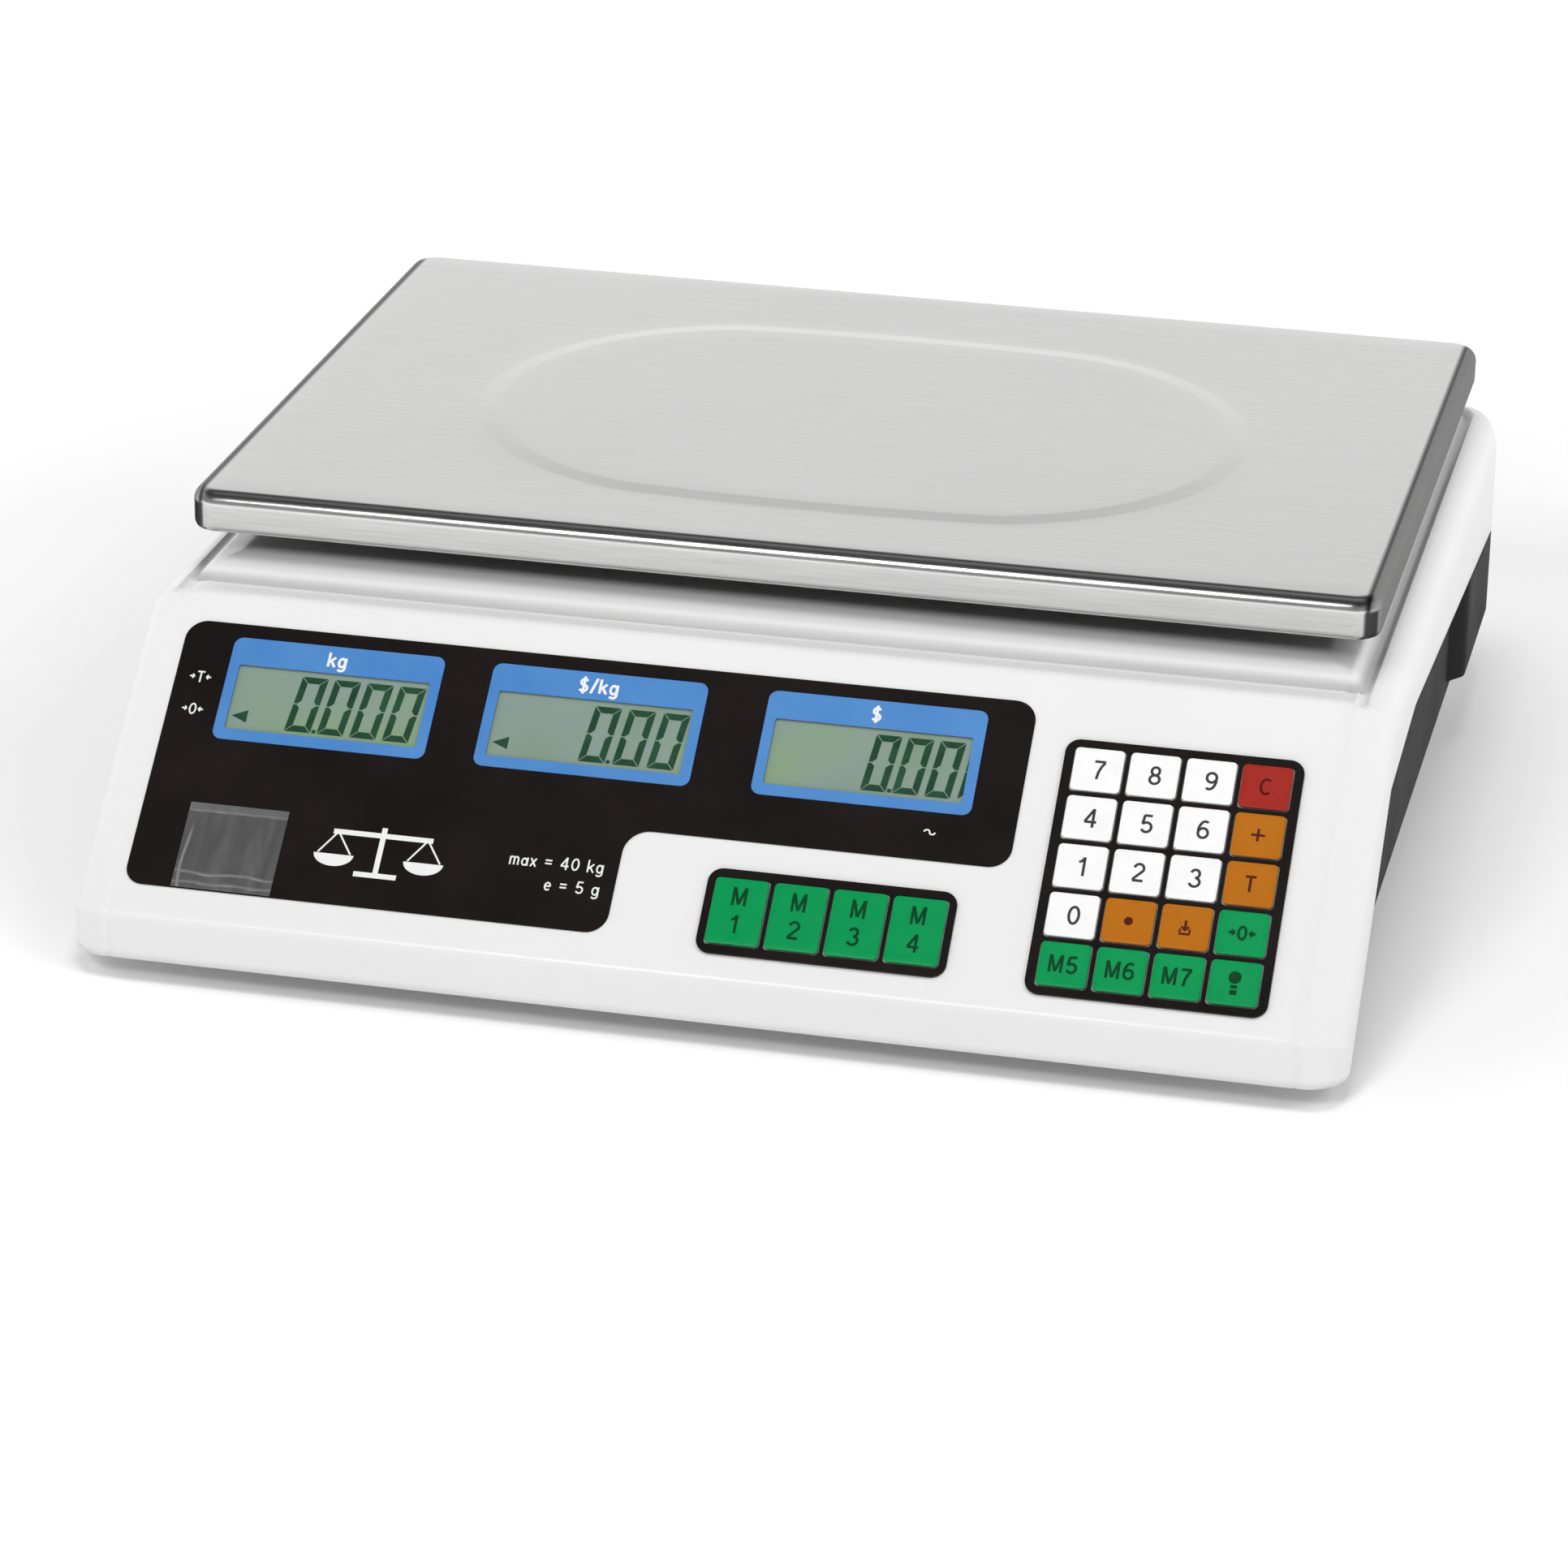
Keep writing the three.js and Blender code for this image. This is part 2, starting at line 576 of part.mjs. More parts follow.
// Recessed mains inlet with three flat pins.
function mainsInlet() {
  const { x, z } = INLET;
  const block = (w, h, y0, y1, dz = 0) => box([x - w / 2, y0, z + dz - h / 2], [x + w / 2, y1, z + dz + h / 2]);
  const flange = block(43.4, 22.4, 163.1, 164.8);
  const body = flange.add(block(27.2, 19.8, 143, 163.5));
  const socket = body.subtract(block(24, 16.4, 147.5, 170));
  const pin = (dx, dz) => box([x + dx - 1, 146, z + dz - 2], [x + dx + 1, 162, z + dz + 2]);
  return socket.add(pin(-7, -2)).add(pin(7, -2)).add(pin(0, 2));
}

function switchBezel() {
  const { x, z } = SWITCH;
  const block = (w, h, y0, y1) => box([x - w / 2, y0, z - h / 2], [x + w / 2, y1, z + h / 2]);
  return block(23.4, 16.4, 161.5, 163)
    .add(block(19.4, 13, 146, 162))
    .subtract(block(17.4, 10.6, 149, 170));
}

// Rocker with a shallow V face, tilted to its off side.
function rocker() {
  const outline = [[-7.6, 0], [7.6, 0], [7.9, 5.2], [0, 4.1], [-7.9, 5.2]];
  const shape = new THREE.Shape(outline.map(([x, y]) => new THREE.Vector2(x, y)));
  const made = new THREE.ExtrudeGeometry(shape, { depth: 9.8, bevelEnabled: false });
  return made.translate(0, 0, -4.9).rotateZ(-ROCKER_TILT).translate(SWITCH.x, 158.4, SWITCH.z);
}

// Round bubble level: a clear capsule on the tray floor, seen through the overlay's window.
function levelVial() {
  return bar(LEVEL.u, -137, INSIDE_FLOOR, INSIDE_FLOOR + 6.5, 9, 24);
}

// ---------------------------------------------------------------- put together

add("top_housing", topHousing(), WHITE_ABS);
add("base_tray", baseTray(), BLACK_ABS);

add("display_overlay", displayOverlay(), PRINT_BLACK, face);
for (const { name, u } of LCDS) {
  add(`window_frame_${name}`, windowFrame(u), PRINT_BLUE, face);
  add(`lcd_${name}`, lcdModule(u), LCD_GLASS, face);
}
const paneShape = roundRect(LEVEL.w, LEVEL.top - OVERLAY.bottom, 0.6, LEVEL.u, (LEVEL.top + OVERLAY.bottom) / 2);
add("level_window", plate(paneShape, GAP, GAP + FACE_T - 0.1, 1), SMOKED, face);
add("keypad_frame", keyFrame(KEYPAD, KEYPAD_KEYS), PRINT_BLACK, face);
add("memory_key_frame", keyFrame(MEMORY, MEMORY_KEYS), PRINT_BLACK, face);
for (const { name, material, u, v } of KEYPAD_KEYS) {
  add(name, keyCap(KEYPAD.keyW, KEYPAD.keyH), material, face).position.set(u, v, 0);
}
for (const { name, material, u, v } of MEMORY_KEYS) {
  add(name, keyCap(MEMORY.keyW, MEMORY.keyH), material, face).position.set(u, v, 0);
}
add("display_board", displayBoard(), CIRCUIT, face);
add("key_circuit", keyCircuit(), CIRCUIT, face);
add("level_vial", levelVial(), CLEAR_ACRYLIC);

add("weighing_platter", platter(), STAINLESS);
add("platter_support", platterSupport(), ALUMINIUM);
for (const [side, sx] of [["left", -1], ["right", 1]]) {
  for (const [end, sy] of [["front", -1], ["back", 1]]) {
    add(`support_pad_${end}_${side}`, supportPad(sx * POST.x, PLATTER.y + sy * POST.y), RUBBER);
    const footY = sy < 0 ? FOOT.front : FOOT.back;
    add(`levelling_foot_${end}_${side}`, levellingFoot(), RUBBER).position.set(sx * FOOT.x, footY, 0);
  }
}
add("load_cell", loadCell(), ALUMINIUM);
add("load_cell_plate", cellPlate(), ZINC_STEEL);
add("overload_stop_screw", stopScrew(), ZINC_STEEL);

add("main_board", mainBoard(), CIRCUIT);
add("battery", batteryPack(), BATTERY_GREY);
add("mains_transformer", mainsTransformer(), IRON);
add("mains_inlet", mainsInlet(), BLACK_ABS);
add("switch_bezel", switchBezel(), BLACK_ABS);
add("power_rocker", rocker(), PRINT_BLACK);

export default scale;
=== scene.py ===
"""Looks of a counter-top price-computing scale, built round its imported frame.

Every piece is worked out in metres in the frame of the CAD: X to the user's right, Y away from
the user, Z up from the table. The sections follow the scale as it is put together: camera and
light, base, housing, weighing gear and platter, the control face, the back panel and the inside.
"""

import math

import bmesh
import bpy
import numpy as np
from mathutils import Matrix, Vector


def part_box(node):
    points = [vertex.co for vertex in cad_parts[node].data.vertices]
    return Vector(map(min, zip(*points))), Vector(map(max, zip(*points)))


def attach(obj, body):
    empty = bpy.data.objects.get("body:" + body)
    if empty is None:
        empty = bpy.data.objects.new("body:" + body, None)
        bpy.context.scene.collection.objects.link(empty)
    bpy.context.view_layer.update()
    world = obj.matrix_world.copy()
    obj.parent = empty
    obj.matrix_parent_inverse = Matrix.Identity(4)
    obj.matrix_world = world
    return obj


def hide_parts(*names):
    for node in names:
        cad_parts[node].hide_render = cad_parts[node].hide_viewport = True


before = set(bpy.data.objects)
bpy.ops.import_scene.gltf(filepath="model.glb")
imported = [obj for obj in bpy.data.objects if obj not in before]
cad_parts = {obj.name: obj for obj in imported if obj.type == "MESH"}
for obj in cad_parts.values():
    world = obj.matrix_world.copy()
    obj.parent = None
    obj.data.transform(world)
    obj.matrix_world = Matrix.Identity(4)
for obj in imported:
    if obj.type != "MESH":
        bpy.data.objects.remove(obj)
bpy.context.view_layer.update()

MM = 0.001

# ---- Camera
# A long lens looks down on the scale from in front of its right-hand half, level apart from a
# small roll. It stands about a metre and a half away.

EYE = (0.3229, -1.4949, 0.6500)
LENS, SENSOR = 130.43, 36
YAW, PITCH, ROLL = math.radians(12.628), math.radians(22.764), math.radians(0.909)
back = Vector((math.sin(YAW) * math.cos(PITCH), -math.cos(YAW) * math.cos(PITCH), math.sin(PITCH)))
level = (-back).cross(Vector((0, 0, 1))).normalized()
raised = level.cross(-back)
across = level * math.cos(ROLL) + raised * math.sin(ROLL)
upward = raised * math.cos(ROLL) - level * math.sin(ROLL)
camera_data = bpy.data.cameras.new("view")
camera_data.lens, camera_data.sensor_width = LENS, SENSOR
camera_data.clip_start, camera_data.clip_end = 0.05, 50
camera = bpy.data.objects.new("view", camera_data)
camera.matrix_world = Matrix([(across[i], upward[i], back[i], EYE[i]) for i in range(3)] + [(0, 0, 0, 1)])
bpy.context.scene.collection.objects.link(camera)
bpy.context.scene.camera = camera
bpy.context.scene.view_settings.view_transform = "Standard"

# ---- Studio
# A pale, faintly glowing sweep under a sky that is bright low at the back and dark overhead.
# Soft boxes hang in front, overhead and at both sides.


def adder(tree):
    """A function that adds a node to a tree with its settings and inputs."""

    def add(kind, inputs=(), **settings):
        node = tree.nodes.new(kind)
        for key, value in settings.items():
            setattr(node, key, value)
        for key, value in dict(inputs).items():
            if isinstance(value, bpy.types.NodeSocket):
                tree.links.new(value, node.inputs[key])
            else:
                node.inputs[key].default_value = value
        return node

    return add


def ramp_of(add, factor, stops):
    """A colour ramp through (place, colour) stops."""
    ramp = add("ShaderNodeValToRGB", {"Fac": factor})
    marks = ramp.color_ramp.elements
    marks[0].position, marks[1].position = stops[0][0], stops[-1][0]
    marks[0].color, marks[1].color = (*stops[0][1], 1), (*stops[-1][1], 1)
    for place, colour in stops[1:-1]:
        marks.new(place).color = (*colour, 1)
    return ramp.outputs["Color"]


def greys(*stops):
    """Stops of plain grey for a colour ramp, from (place, tone) pairs."""
    return [(place, (tone,) * 3) for place, tone in stops]


def ranged(add, value, start, stop, low=0.0, high=1.0):
    """A value carried from start..stop to low..high, and clamped there."""
    inputs = {"Value": value, "From Min": start, "From Max": stop, "To Min": low, "To Max": high}
    return add("ShaderNodeMapRange", inputs).outputs["Result"]


def mixed(add, share, first, second, blend="MIX"):
    """The first colour with a share of the second."""
    inputs = {0: share, 6: first, 7: second}
    return add("ShaderNodeMix", inputs, data_type="RGBA", blend_type=blend).outputs[2]


world = bpy.data.worlds.new("sky")
bpy.context.scene.world = world
world.use_nodes = True
world.node_tree.nodes.clear()
add = adder(world.node_tree)
heights = add("ShaderNodeSeparateXYZ", {0: add("ShaderNodeTexCoord").outputs["Generated"]})
rear_sky = ramp_of(add, heights.outputs["Z"], greys(
    (0.0, 1.35), (0.39, 1.08), (0.56, 0.8), (0.70, 0.08), (0.88, 0.08), (0.96, 0.32), (1.0, 0.32)))
front_sky = ramp_of(add, heights.outputs["Z"], greys(
    (0.0, 1.0), (0.07, 0.9), (0.15, 0.22), (0.3, 0.40), (0.55, 0.25), (0.75, 0.05), (1.0, 0.05)))
sky = mixed(add, ranged(add, heights.outputs["Y"], -0.25, 0.25), front_sky, rear_sky)
light_sky = add("ShaderNodeBackground", {"Color": sky, "Strength": 1.0})
add("ShaderNodeOutputWorld", {"Surface": light_sky.outputs[0]})


def soft_box(name, place, target, size, watts, mirrored=True):
    """A square area light at place that faces target. Unmirrored, it lights but leaves no gleam."""
    data = bpy.data.lights.new(name, "AREA")
    data.shape, data.size, data.energy = "SQUARE", size, watts
    lamp = bpy.data.objects.new(name, data)
    aim = Vector(target) - Vector(place)
    lamp.matrix_world = Matrix.Translation(place) @ aim.to_track_quat("-Z", "Y").to_matrix().to_4x4()
    lamp.visible_glossy = mirrored
    bpy.context.scene.collection.objects.link(lamp)


soft_box("key_light", (-0.40, -1.74, 1.52), (0, 0, 0.05), 0.5, 13.5)
soft_box("top_light", (0.1, -0.55, 2.1), (0, 0, 0.05), 0.7, 12.5, mirrored=False)
soft_box("right_light", (1.6, -0.7, 1.75), (0.1, 0, 0.05), 1.1, 15.5, mirrored=False)
soft_box("left_light", (-1.8, -0.3, 1.7), (0, 0, 0.05), 1.2, 8, mirrored=False)


def mesh_piece(name, points, faces, material, smooth=40):
    """An object of one mesh from an (n, 3) array and face index lists, welded where points
    coincide, with every face smooth except across edges sharper than smooth degrees."""
    mesh = bpy.data.meshes.new(name)
    mesh.from_pydata(np.asarray(points, float).tolist(), [], faces)
    work = bmesh.new()
    work.from_mesh(mesh)
    bmesh.ops.remove_doubles(work, verts=work.verts, dist=2e-6)
    bmesh.ops.dissolve_degenerate(work, edges=work.edges, dist=1e-6)
    work.to_mesh(mesh)
    work.free()
    mesh.polygons.foreach_set("use_smooth", [True] * len(mesh.polygons))
    mesh.set_sharp_from_angle(angle=math.radians(smooth))
    mesh.materials.append(material)
    made = bpy.data.objects.new(name, mesh)
    bpy.context.scene.collection.objects.link(made)
    return made


def grid_faces(rows, cols, wrap=False, keep=None, start=0):
    """Quads of a rows x cols grid of points. With wrap the last column joins the first. keep is
    a mask of the cells to use."""
    r, c = np.meshgrid(np.arange(rows - 1), np.arange(cols if wrap else cols - 1), indexing="ij")
    if keep is not None:
        r, c = r[keep], c[keep]
    r, c = r.ravel(), c.ravel()
    d = (c + 1) % cols
    quads = np.stack([r * cols + c, r * cols + d, (r + 1) * cols + d, (r + 1) * cols + c], -1)
    return (quads + start).tolist()


def lofted(name, rows, material, wrap=True, keep=None, smooth=40):
    """A surface through equal rows of points, closed round each row with wrap."""
    points = np.stack(rows)
    faces = grid_faces(*points.shape[:2], wrap=wrap, keep=keep)
    return mesh_piece(name, points.reshape(-1, 3), faces, material, smooth)


def new_material(name):
    """A material with an empty tree, with its add function and its Object coordinates."""
    material = bpy.data.materials.new(name)
    material.use_nodes = True
    material.node_tree.nodes.clear()
    add = adder(material.node_tree)
    return material, add, add("ShaderNodeTexCoord").outputs["Object"]


def noise(add, place, scale, **inputs):
    """Noise with about scale cells to the metre."""
    return add("ShaderNodeTexNoise", {"Vector": place, "Scale": scale, **inputs}).outputs["Fac"]


def relief(add, height, depth):
    """A normal bent by a height that is depth metres at most."""
    return add("ShaderNodeBump", {"Height": height, "Distance": depth, "Strength": 1.0}).outputs["Normal"]


def shaded(add, tint, gloss, normal, **inputs):
    """Ends a tree in one shader."""
    inputs = {"Base Color": tint, "Roughness": gloss, "Normal": normal, **inputs}
    add("ShaderNodeOutputMaterial", {"Surface": add("ShaderNodeBsdfPrincipled", inputs).outputs[0]})


def finish_of(name, colour, shade, rough, grain, **extra):
    """A moulded, cast or coated finish. The colour drifts between colour and shade over about
    shade[1] metres, the roughness drifts within rough, and grain = (size, height) in metres
    gives the surface its fine relief."""
    material, add, place = new_material(name)
    other, drift = shade
    broad = noise(add, place, 1 / drift, Detail=4.0, Roughness=0.55)
    fine = noise(add, place, 1 / grain[0], Detail=3.0)
    tint = ramp_of(add, broad, [(0.3, colour), (0.72, other)])
    shaded(add, tint, ranged(add, broad, 0.3, 0.7, *rough), relief(add, fine, grain[1]), **extra)
    return material


sweep = finish_of("sweep_paper", (0.93,) * 3, ((0.92,) * 3, 0.7), (0.8, 0.9), (0.002, 0.00002),
                  **{"Emission Color": (1, 1, 1, 1)})
add = adder(sweep.node_tree)
distance = add("ShaderNodeVectorMath", {0: add("ShaderNodeTexCoord").outputs["Object"]}, operation="LENGTH")
glow = ranged(add, distance.outputs["Value"], 0.36, 1.25, 0.14, 1.0)
sweep.node_tree.links.new(glow, sweep.node_tree.nodes["Principled BSDF"].inputs["Emission Strength"])
turns = np.linspace(0, 2 * np.pi, 65)[:-1]
reach = np.array([0.0, 0.4, 1.0, 3.0, 8.0])[:, None]
disc = np.stack([reach * np.cos(turns), reach * np.sin(turns), 0 * reach * turns], -1)
floor = lofted("floor", disc, sweep)

# ---- Base tray
# One charcoal ABS moulding with a fine spark texture. Its upright wall stands behind the lower
# edge of the housing, and a wider band runs round its back, flush with the housing.

charcoal = finish_of("charcoal_abs", (0.0125, 0.0125, 0.0125), ((0.019, 0.019, 0.019), 0.03), (0.6, 0.75),
                     (0.0007, 0.00006), **{"Specular IOR Level": 0.12})
HALF_W, HALF_D = 175 * MM, 165 * MM
TRAY_W, TRAY_FRONT, TRAY_BACK = 170.3 * MM, -160 * MM, 160.3 * MM
TRAY_Z = 18 * MM
BAND_Z = 23 * MM

INLET_X, SWITCH_X, BACK_Z = -112 * MM, -68 * MM, 35.5 * MM


def round_loop(half_w, front, rear, radius, steps=10):
    """Points (x, y) anticlockwise round a rectangle with round corners."""
    t = np.linspace(0, np.pi / 2, steps)
    ring = np.stack([np.cos(t), np.sin(t)], -1) * radius
    x, y0, y1 = half_w - radius, front + radius, rear - radius
    turn = np.array([[0, -1], [1, 0]])
    parts = [ring, ring @ turn.T, ring @ turn.T @ turn.T, ring @ turn]
    centres = [(x, y1), (-x, y1), (-x, y0), (x, y0)]
    return np.concatenate([p + c for p, c in zip(parts, centres)])


def divided(loop, longest):
    """The same closed loop with runs longer than longest divided evenly."""
    following = np.roll(loop, -1, axis=0)
    counts = np.maximum(np.ceil(np.linalg.norm(following - loop, axis=1) / longest).astype(int), 1)
    runs = [a + (b - a) * np.arange(n)[:, None] / n for a, b, n in zip(loop, following, counts)]
    return np.concatenate(runs)


def tray_top(y):
    """Height of the tray wall's top edge behind the housing at depth y."""
    return np.interp(y, [-160 * MM, -155 * MM, -98 * MM, -41 * MM, TRAY_BACK],
                     [19.2 * MM, 19.2 * MM, 68.5 * MM, 71 * MM, 52 * MM])


def at_height(xy, z):
    """Points (x, y) at height z, which is one number or one for each point."""
    return np.column_stack([xy, np.broadcast_to(z, len(xy))])


def thickened(piece, thickness, offset=-1):
    """Gives a skin its thickness, inward unless offset says otherwise."""
    wall = piece.modifiers.new("wall", "SOLIDIFY")
    wall.thickness, wall.offset = thickness, offset


# Through holes in the back wall for the inlet and the switch: centre x and z, width, height.
BACK_HOLES = [(INLET_X, BACK_Z, 28 * MM, 20.6 * MM), (SWITCH_X, BACK_Z, 20 * MM, 13.6 * MM)]


def in_hole(places, holes, beyond):
    """Which places lie behind y = beyond and inside one of the holes in the back wall."""
    x, y, z = np.moveaxis(places, -1, 0)
    return sum((y > beyond) & (abs(x - cx) < w / 2) & (abs(z - cz) < h / 2) for cx, cz, w, h in holes) > 0


def hole_sides(holes):
    """Where the holes' upright edges stand along x, from right to left."""
    return [cx + side * w / 2 for cx, cz, w, h in holes[::-1] for side in (1, -1)]


CORNER_STEPS = 10
EDGE_R = 2.0 * MM
bare = round_loop(TRAY_W, TRAY_FRONT, TRAY_BACK, 9 * MM, CORNER_STEPS)
hole_edges = [(x, TRAY_BACK) for x in hole_sides(BACK_HOLES)]
loop = divided(np.insert(bare, CORNER_STEPS, hole_edges, axis=0), 6 * MM)
rows = [at_height(loop * share, TRAY_Z) for share in (0, 0.4, 0.75, 0.96)]
for t in np.linspace(0, np.pi / 2, 5):
    draw = EDGE_R * (1 - np.sin(t))
    scale = (1 - draw / TRAY_W, 1 - draw / HALF_D)
    rows.append(at_height(loop * scale, TRAY_Z + EDGE_R * (1 - np.cos(t))))
wall_low = TRAY_Z + EDGE_R
wall_high = np.maximum(tray_top(loop[:, 1]), wall_low + 0.2 * MM)
rear_height = tray_top(TRAY_BACK) - wall_low
hole_heights = sorted(cz + side * h / 2 for cx, cz, w, h in BACK_HOLES for side in (1, -1))
levels = [(z - wall_low) / rear_height for z in hole_heights]
for t in (*levels[:2], 0.45, *levels[2:], 1.0):
    rows.append(at_height(loop, wall_low + (wall_high - wall_low) * t))
points = np.stack(rows)
mid = (points[:-1] + np.roll(points[1:], -1, axis=1)) / 2
solid = ~in_hole(mid, BACK_HOLES, TRAY_BACK - 0.3 * MM)
tray = lofted("base_shell", rows, charcoal, keep=solid)
thickened(tray, 2.6 * MM)
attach(tray, "case")
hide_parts("base_tray")


def lower_edge(y):
    """Height of the housing's lower edge on its side at depth y."""
    return np.interp(y, np.array([-165, -151, -149, -92, -41, 165]) * MM,
                     np.array([7, 7, 9, 63, 68, 49]) * MM)


# The band's plan runs from a slanted face on one side, round both rear corners, to the other.
# Two recesses in it leave the inlet and the switch free.
REAR_R = 12 * MM
t = np.linspace(0, np.pi / 2, 12)
corner = np.stack([HALF_W - REAR_R + REAR_R * np.cos(t), HALF_D - REAR_R + REAR_R * np.sin(t)], -1)
right_half = np.concatenate([
    np.array([(168.3, 88), (170.3, 90), (173.8, 94.6), (174.7, 96), (175, 97.6)]) * MM,
    np.stack([np.full(6, HALF_W), np.linspace(105 * MM, 148 * MM, 6)], -1),
    corner,
])
RECESSES = [(INLET_X, BACK_Z, 44 * MM, 23 * MM), (SWITCH_X, BACK_Z, 24 * MM, 17 * MM)]
spread = divided(np.stack([[150 * MM, *hole_sides(RECESSES), -150 * MM], [HALF_D] * 6], -1), 9 * MM)
spread = spread[:np.argmin(spread[:, 0]) + 1]
path = np.concatenate([right_half, spread, right_half[::-1] * (-1, 1)])
along = np.gradient(path, axis=0)
along /= np.linalg.norm(along, axis=1)[:, None]
outward = np.stack([along[:, 1], -along[:, 0]], -1)
band_low, band_top = BAND_Z + 1 * MM, lower_edge(path[:, 1]) - 0.5 * MM
rear_top = lower_edge(HALF_D) - 1.1 * MM
rows = []
for inward, lift in ((6.5, 0), (2.5, 0), (0.8, 0.1), (0.2, 0.45), (0, 1.0)):
    rows.append(at_height(path - outward * inward * MM, BAND_Z + lift * MM))
for z in (27 * MM, 35.5 * MM, 44 * MM, 47 * MM, rear_top):
    t = (z - band_low) / (rear_top - band_low)
    rows.append(at_height(path, band_low + (band_top - 0.6 * MM - band_low) * t))
for inward, drop in ((0.2, 0.15), (0.7, 0), (4.0, 0)):
    rows.append(at_height(path - outward * inward * MM, band_top - drop * MM))
points = np.stack(rows)
solid = ~in_hole((points[:-1, :-1] + points[1:, 1:]) / 2, RECESSES, HALF_D - 0.5 * MM)
band = lofted("base_band", rows, charcoal, wrap=False, keep=solid, smooth=50)
thickened(band, 2.2 * MM)
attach(band, "case")

# ---- Housing
# One white ABS moulding, 2.6 mm thick. Its side view is a front lip, a 41 degree face, a ledge
# and a back wall, and it draws in by a quarter circle at both sides. A riser and a groove mark
# off the raised middle that the platter covers. Four holes let the platter's posts through. A
# faint line in the mould runs where each side begins to round.

white_abs = finish_of("white_abs", (0.80, 0.80, 0.797), ((0.775, 0.775, 0.775), 0.12), (0.30, 0.38),
                      (0.0006, 0.00002))
# Painted shade in the grooves: the colour turns grey where the housing's points are marked for it.
add = adder(white_abs.node_tree)
tint = white_abs.node_tree.nodes["Principled BSDF"].inputs["Base Color"]
groove_shade = add("ShaderNodeAttribute", attribute_name="groove_shade").outputs["Fac"]
groove_shaded = mixed(add, groove_shade, tint.links[0].from_socket, (0.32, 0.325, 0.32, 1))
white_abs.node_tree.links.new(groove_shaded, tint)
SLOPE = math.radians(41)
CREASE_Z = 20 * MM
LEDGE_Z = 86 * MM
SIDE_R = 12 * MM
SIDE_FLAT = HALF_W - SIDE_R
DIRECTIONS = np.array([(0, 1), (math.cos(SLOPE), math.sin(SLOPE)), (1, 0), (0, -1)])
CORNER_R = np.array([2.4, 4, 3]) * MM
POSTS = [(sx * 110 * MM, (40 + sy * 70) * MM) for sx in (-1, 1) for sy in (-1, 1)]
POST_PATCH = 12 * MM
LCD_CENTRES = {"weight": -115.3, "unit_price": -41.0, "total": 36.5}
LCD_SEEN_V = 68.5
OPENING_W, OPENING_H = 59, 24.4
LEVEL_U, LEVEL_V = -132.5, 23
PLATEAU_Z = LEDGE_Z + 5 * MM
MIDDLE_COLUMN = 60


def spaced(*marks):
    """Values through marks given as (value, cuts up to the next)."""
    runs = [np.linspace(a, b, n + 1)[:-1] for (a, n), (b, _) in zip(marks, marks[1:])]
    return np.concatenate([*runs, [marks[-1][0]]])


def side_outline(inset, z_end):
    """Side view of the skin for stations drawn in by inset: (samples, stations, 2) of (y, z).
    Straight runs join arcs that are tangent to them, each run sampled at fixed shares."""
    slope_y = -HALF_D + inset * math.sin(SLOPE)
    slope_z = CREASE_Z - inset * math.cos(SLOPE)
    crease = np.stack([-HALF_D + inset, slope_z + (-HALF_D + inset - slope_y) * math.tan(SLOPE)], -1)
    crest = np.stack([slope_y + (LEDGE_Z - inset - slope_z) / math.tan(SLOPE), LEDGE_Z - inset], -1)
    rear = np.stack([HALF_D - inset, LEDGE_Z - inset], -1)
    start = np.stack([-HALF_D + inset, np.full(len(inset), 7 * MM)], -1)
    end = np.stack([HALF_D - inset, z_end], -1)
    turns = np.arccos(np.clip((DIRECTIONS[:-1] * DIRECTIONS[1:]).sum(1), -1, 1))
    samples, kinds = [], []
    previous = start
    for corner, k in zip((crease, crest, rear), range(3)):
        radius = np.maximum(CORNER_R[k] - inset, 0.6 * MM)[:, None]
        ahead = DIRECTIONS[k]
        inward = np.array([ahead[1], -ahead[0]])
        begin = corner - ahead * radius * math.tan(turns[k] / 2)
        centre = begin + inward * radius
        for share in RUN_SHARES[k]:
            samples.append(previous + (begin - previous) * share)
            kinds.append((k, share))
        for angle in np.linspace(0, turns[k], (5, 7, 6)[k])[1:-1]:
            samples.append(centre - inward * radius * math.cos(angle) + ahead * radius * math.sin(angle))
            kinds.append((k + 0.5, angle / turns[k]))
        previous = centre - inward * radius * math.cos(turns[k]) + ahead * radius * math.sin(turns[k])
    for share in RUN_SHARES[3]:
        samples.append(previous + (end - previous) * share)
        kinds.append((3, share))
    return np.stack(samples), kinds


FACE_START = 2.4 * math.tan(math.radians(24.5))
FACE_END = 66 / math.sin(SLOPE) - 4 * math.tan(math.radians(20.5))
LEDGE_START = -165 + 66 / math.tan(SLOPE) + 4 * math.tan(math.radians(20.5))
up_face = spaced((FACE_START, 5), (13, 8), (33, 9), (56.3, 9), (80.7, 6), (FACE_END, 0))
along_top = spaced((LEDGE_START, 3), (-85.5, 30), (-68, 4), (-42, 4), (-18, 10), (98, 4), (122, 3), (145, 22),
                   (161, 1), (162, 0))
RUN_SHARES = [
    np.linspace(0, 1, 6),
    (up_face - FACE_START) / (FACE_END - FACE_START),
    (along_top - LEDGE_START) / (162 - LEDGE_START),
    np.linspace(0, 1, 7),
]
middle = spaced((-152, 2), (-144.8, 1), (-144.5, 3), (-122, 1), (-120.5, 5), (-98, 2), (-85.8, 3), (-70.5, 6),
                (-11.5, 4), (7, 6), (66, 4), (98, 4), (122, 5), (152, 0)) * MM
dense = spaced((152, 14), (163, 0)) * MM
angles = np.radians([0, 2.5, 5, 7.5, 10, 12.5, 15, 19, 24, 30, 37, 45, 54, 63, 72, 81, 90])
flat = np.concatenate([-dense[::-1][:-1], middle, dense[1:-1]])
inset = np.concatenate([SIDE_R * (1 - np.cos(angles[::-1])), 0 * flat[1:], SIDE_R * (1 - np.cos(angles))])
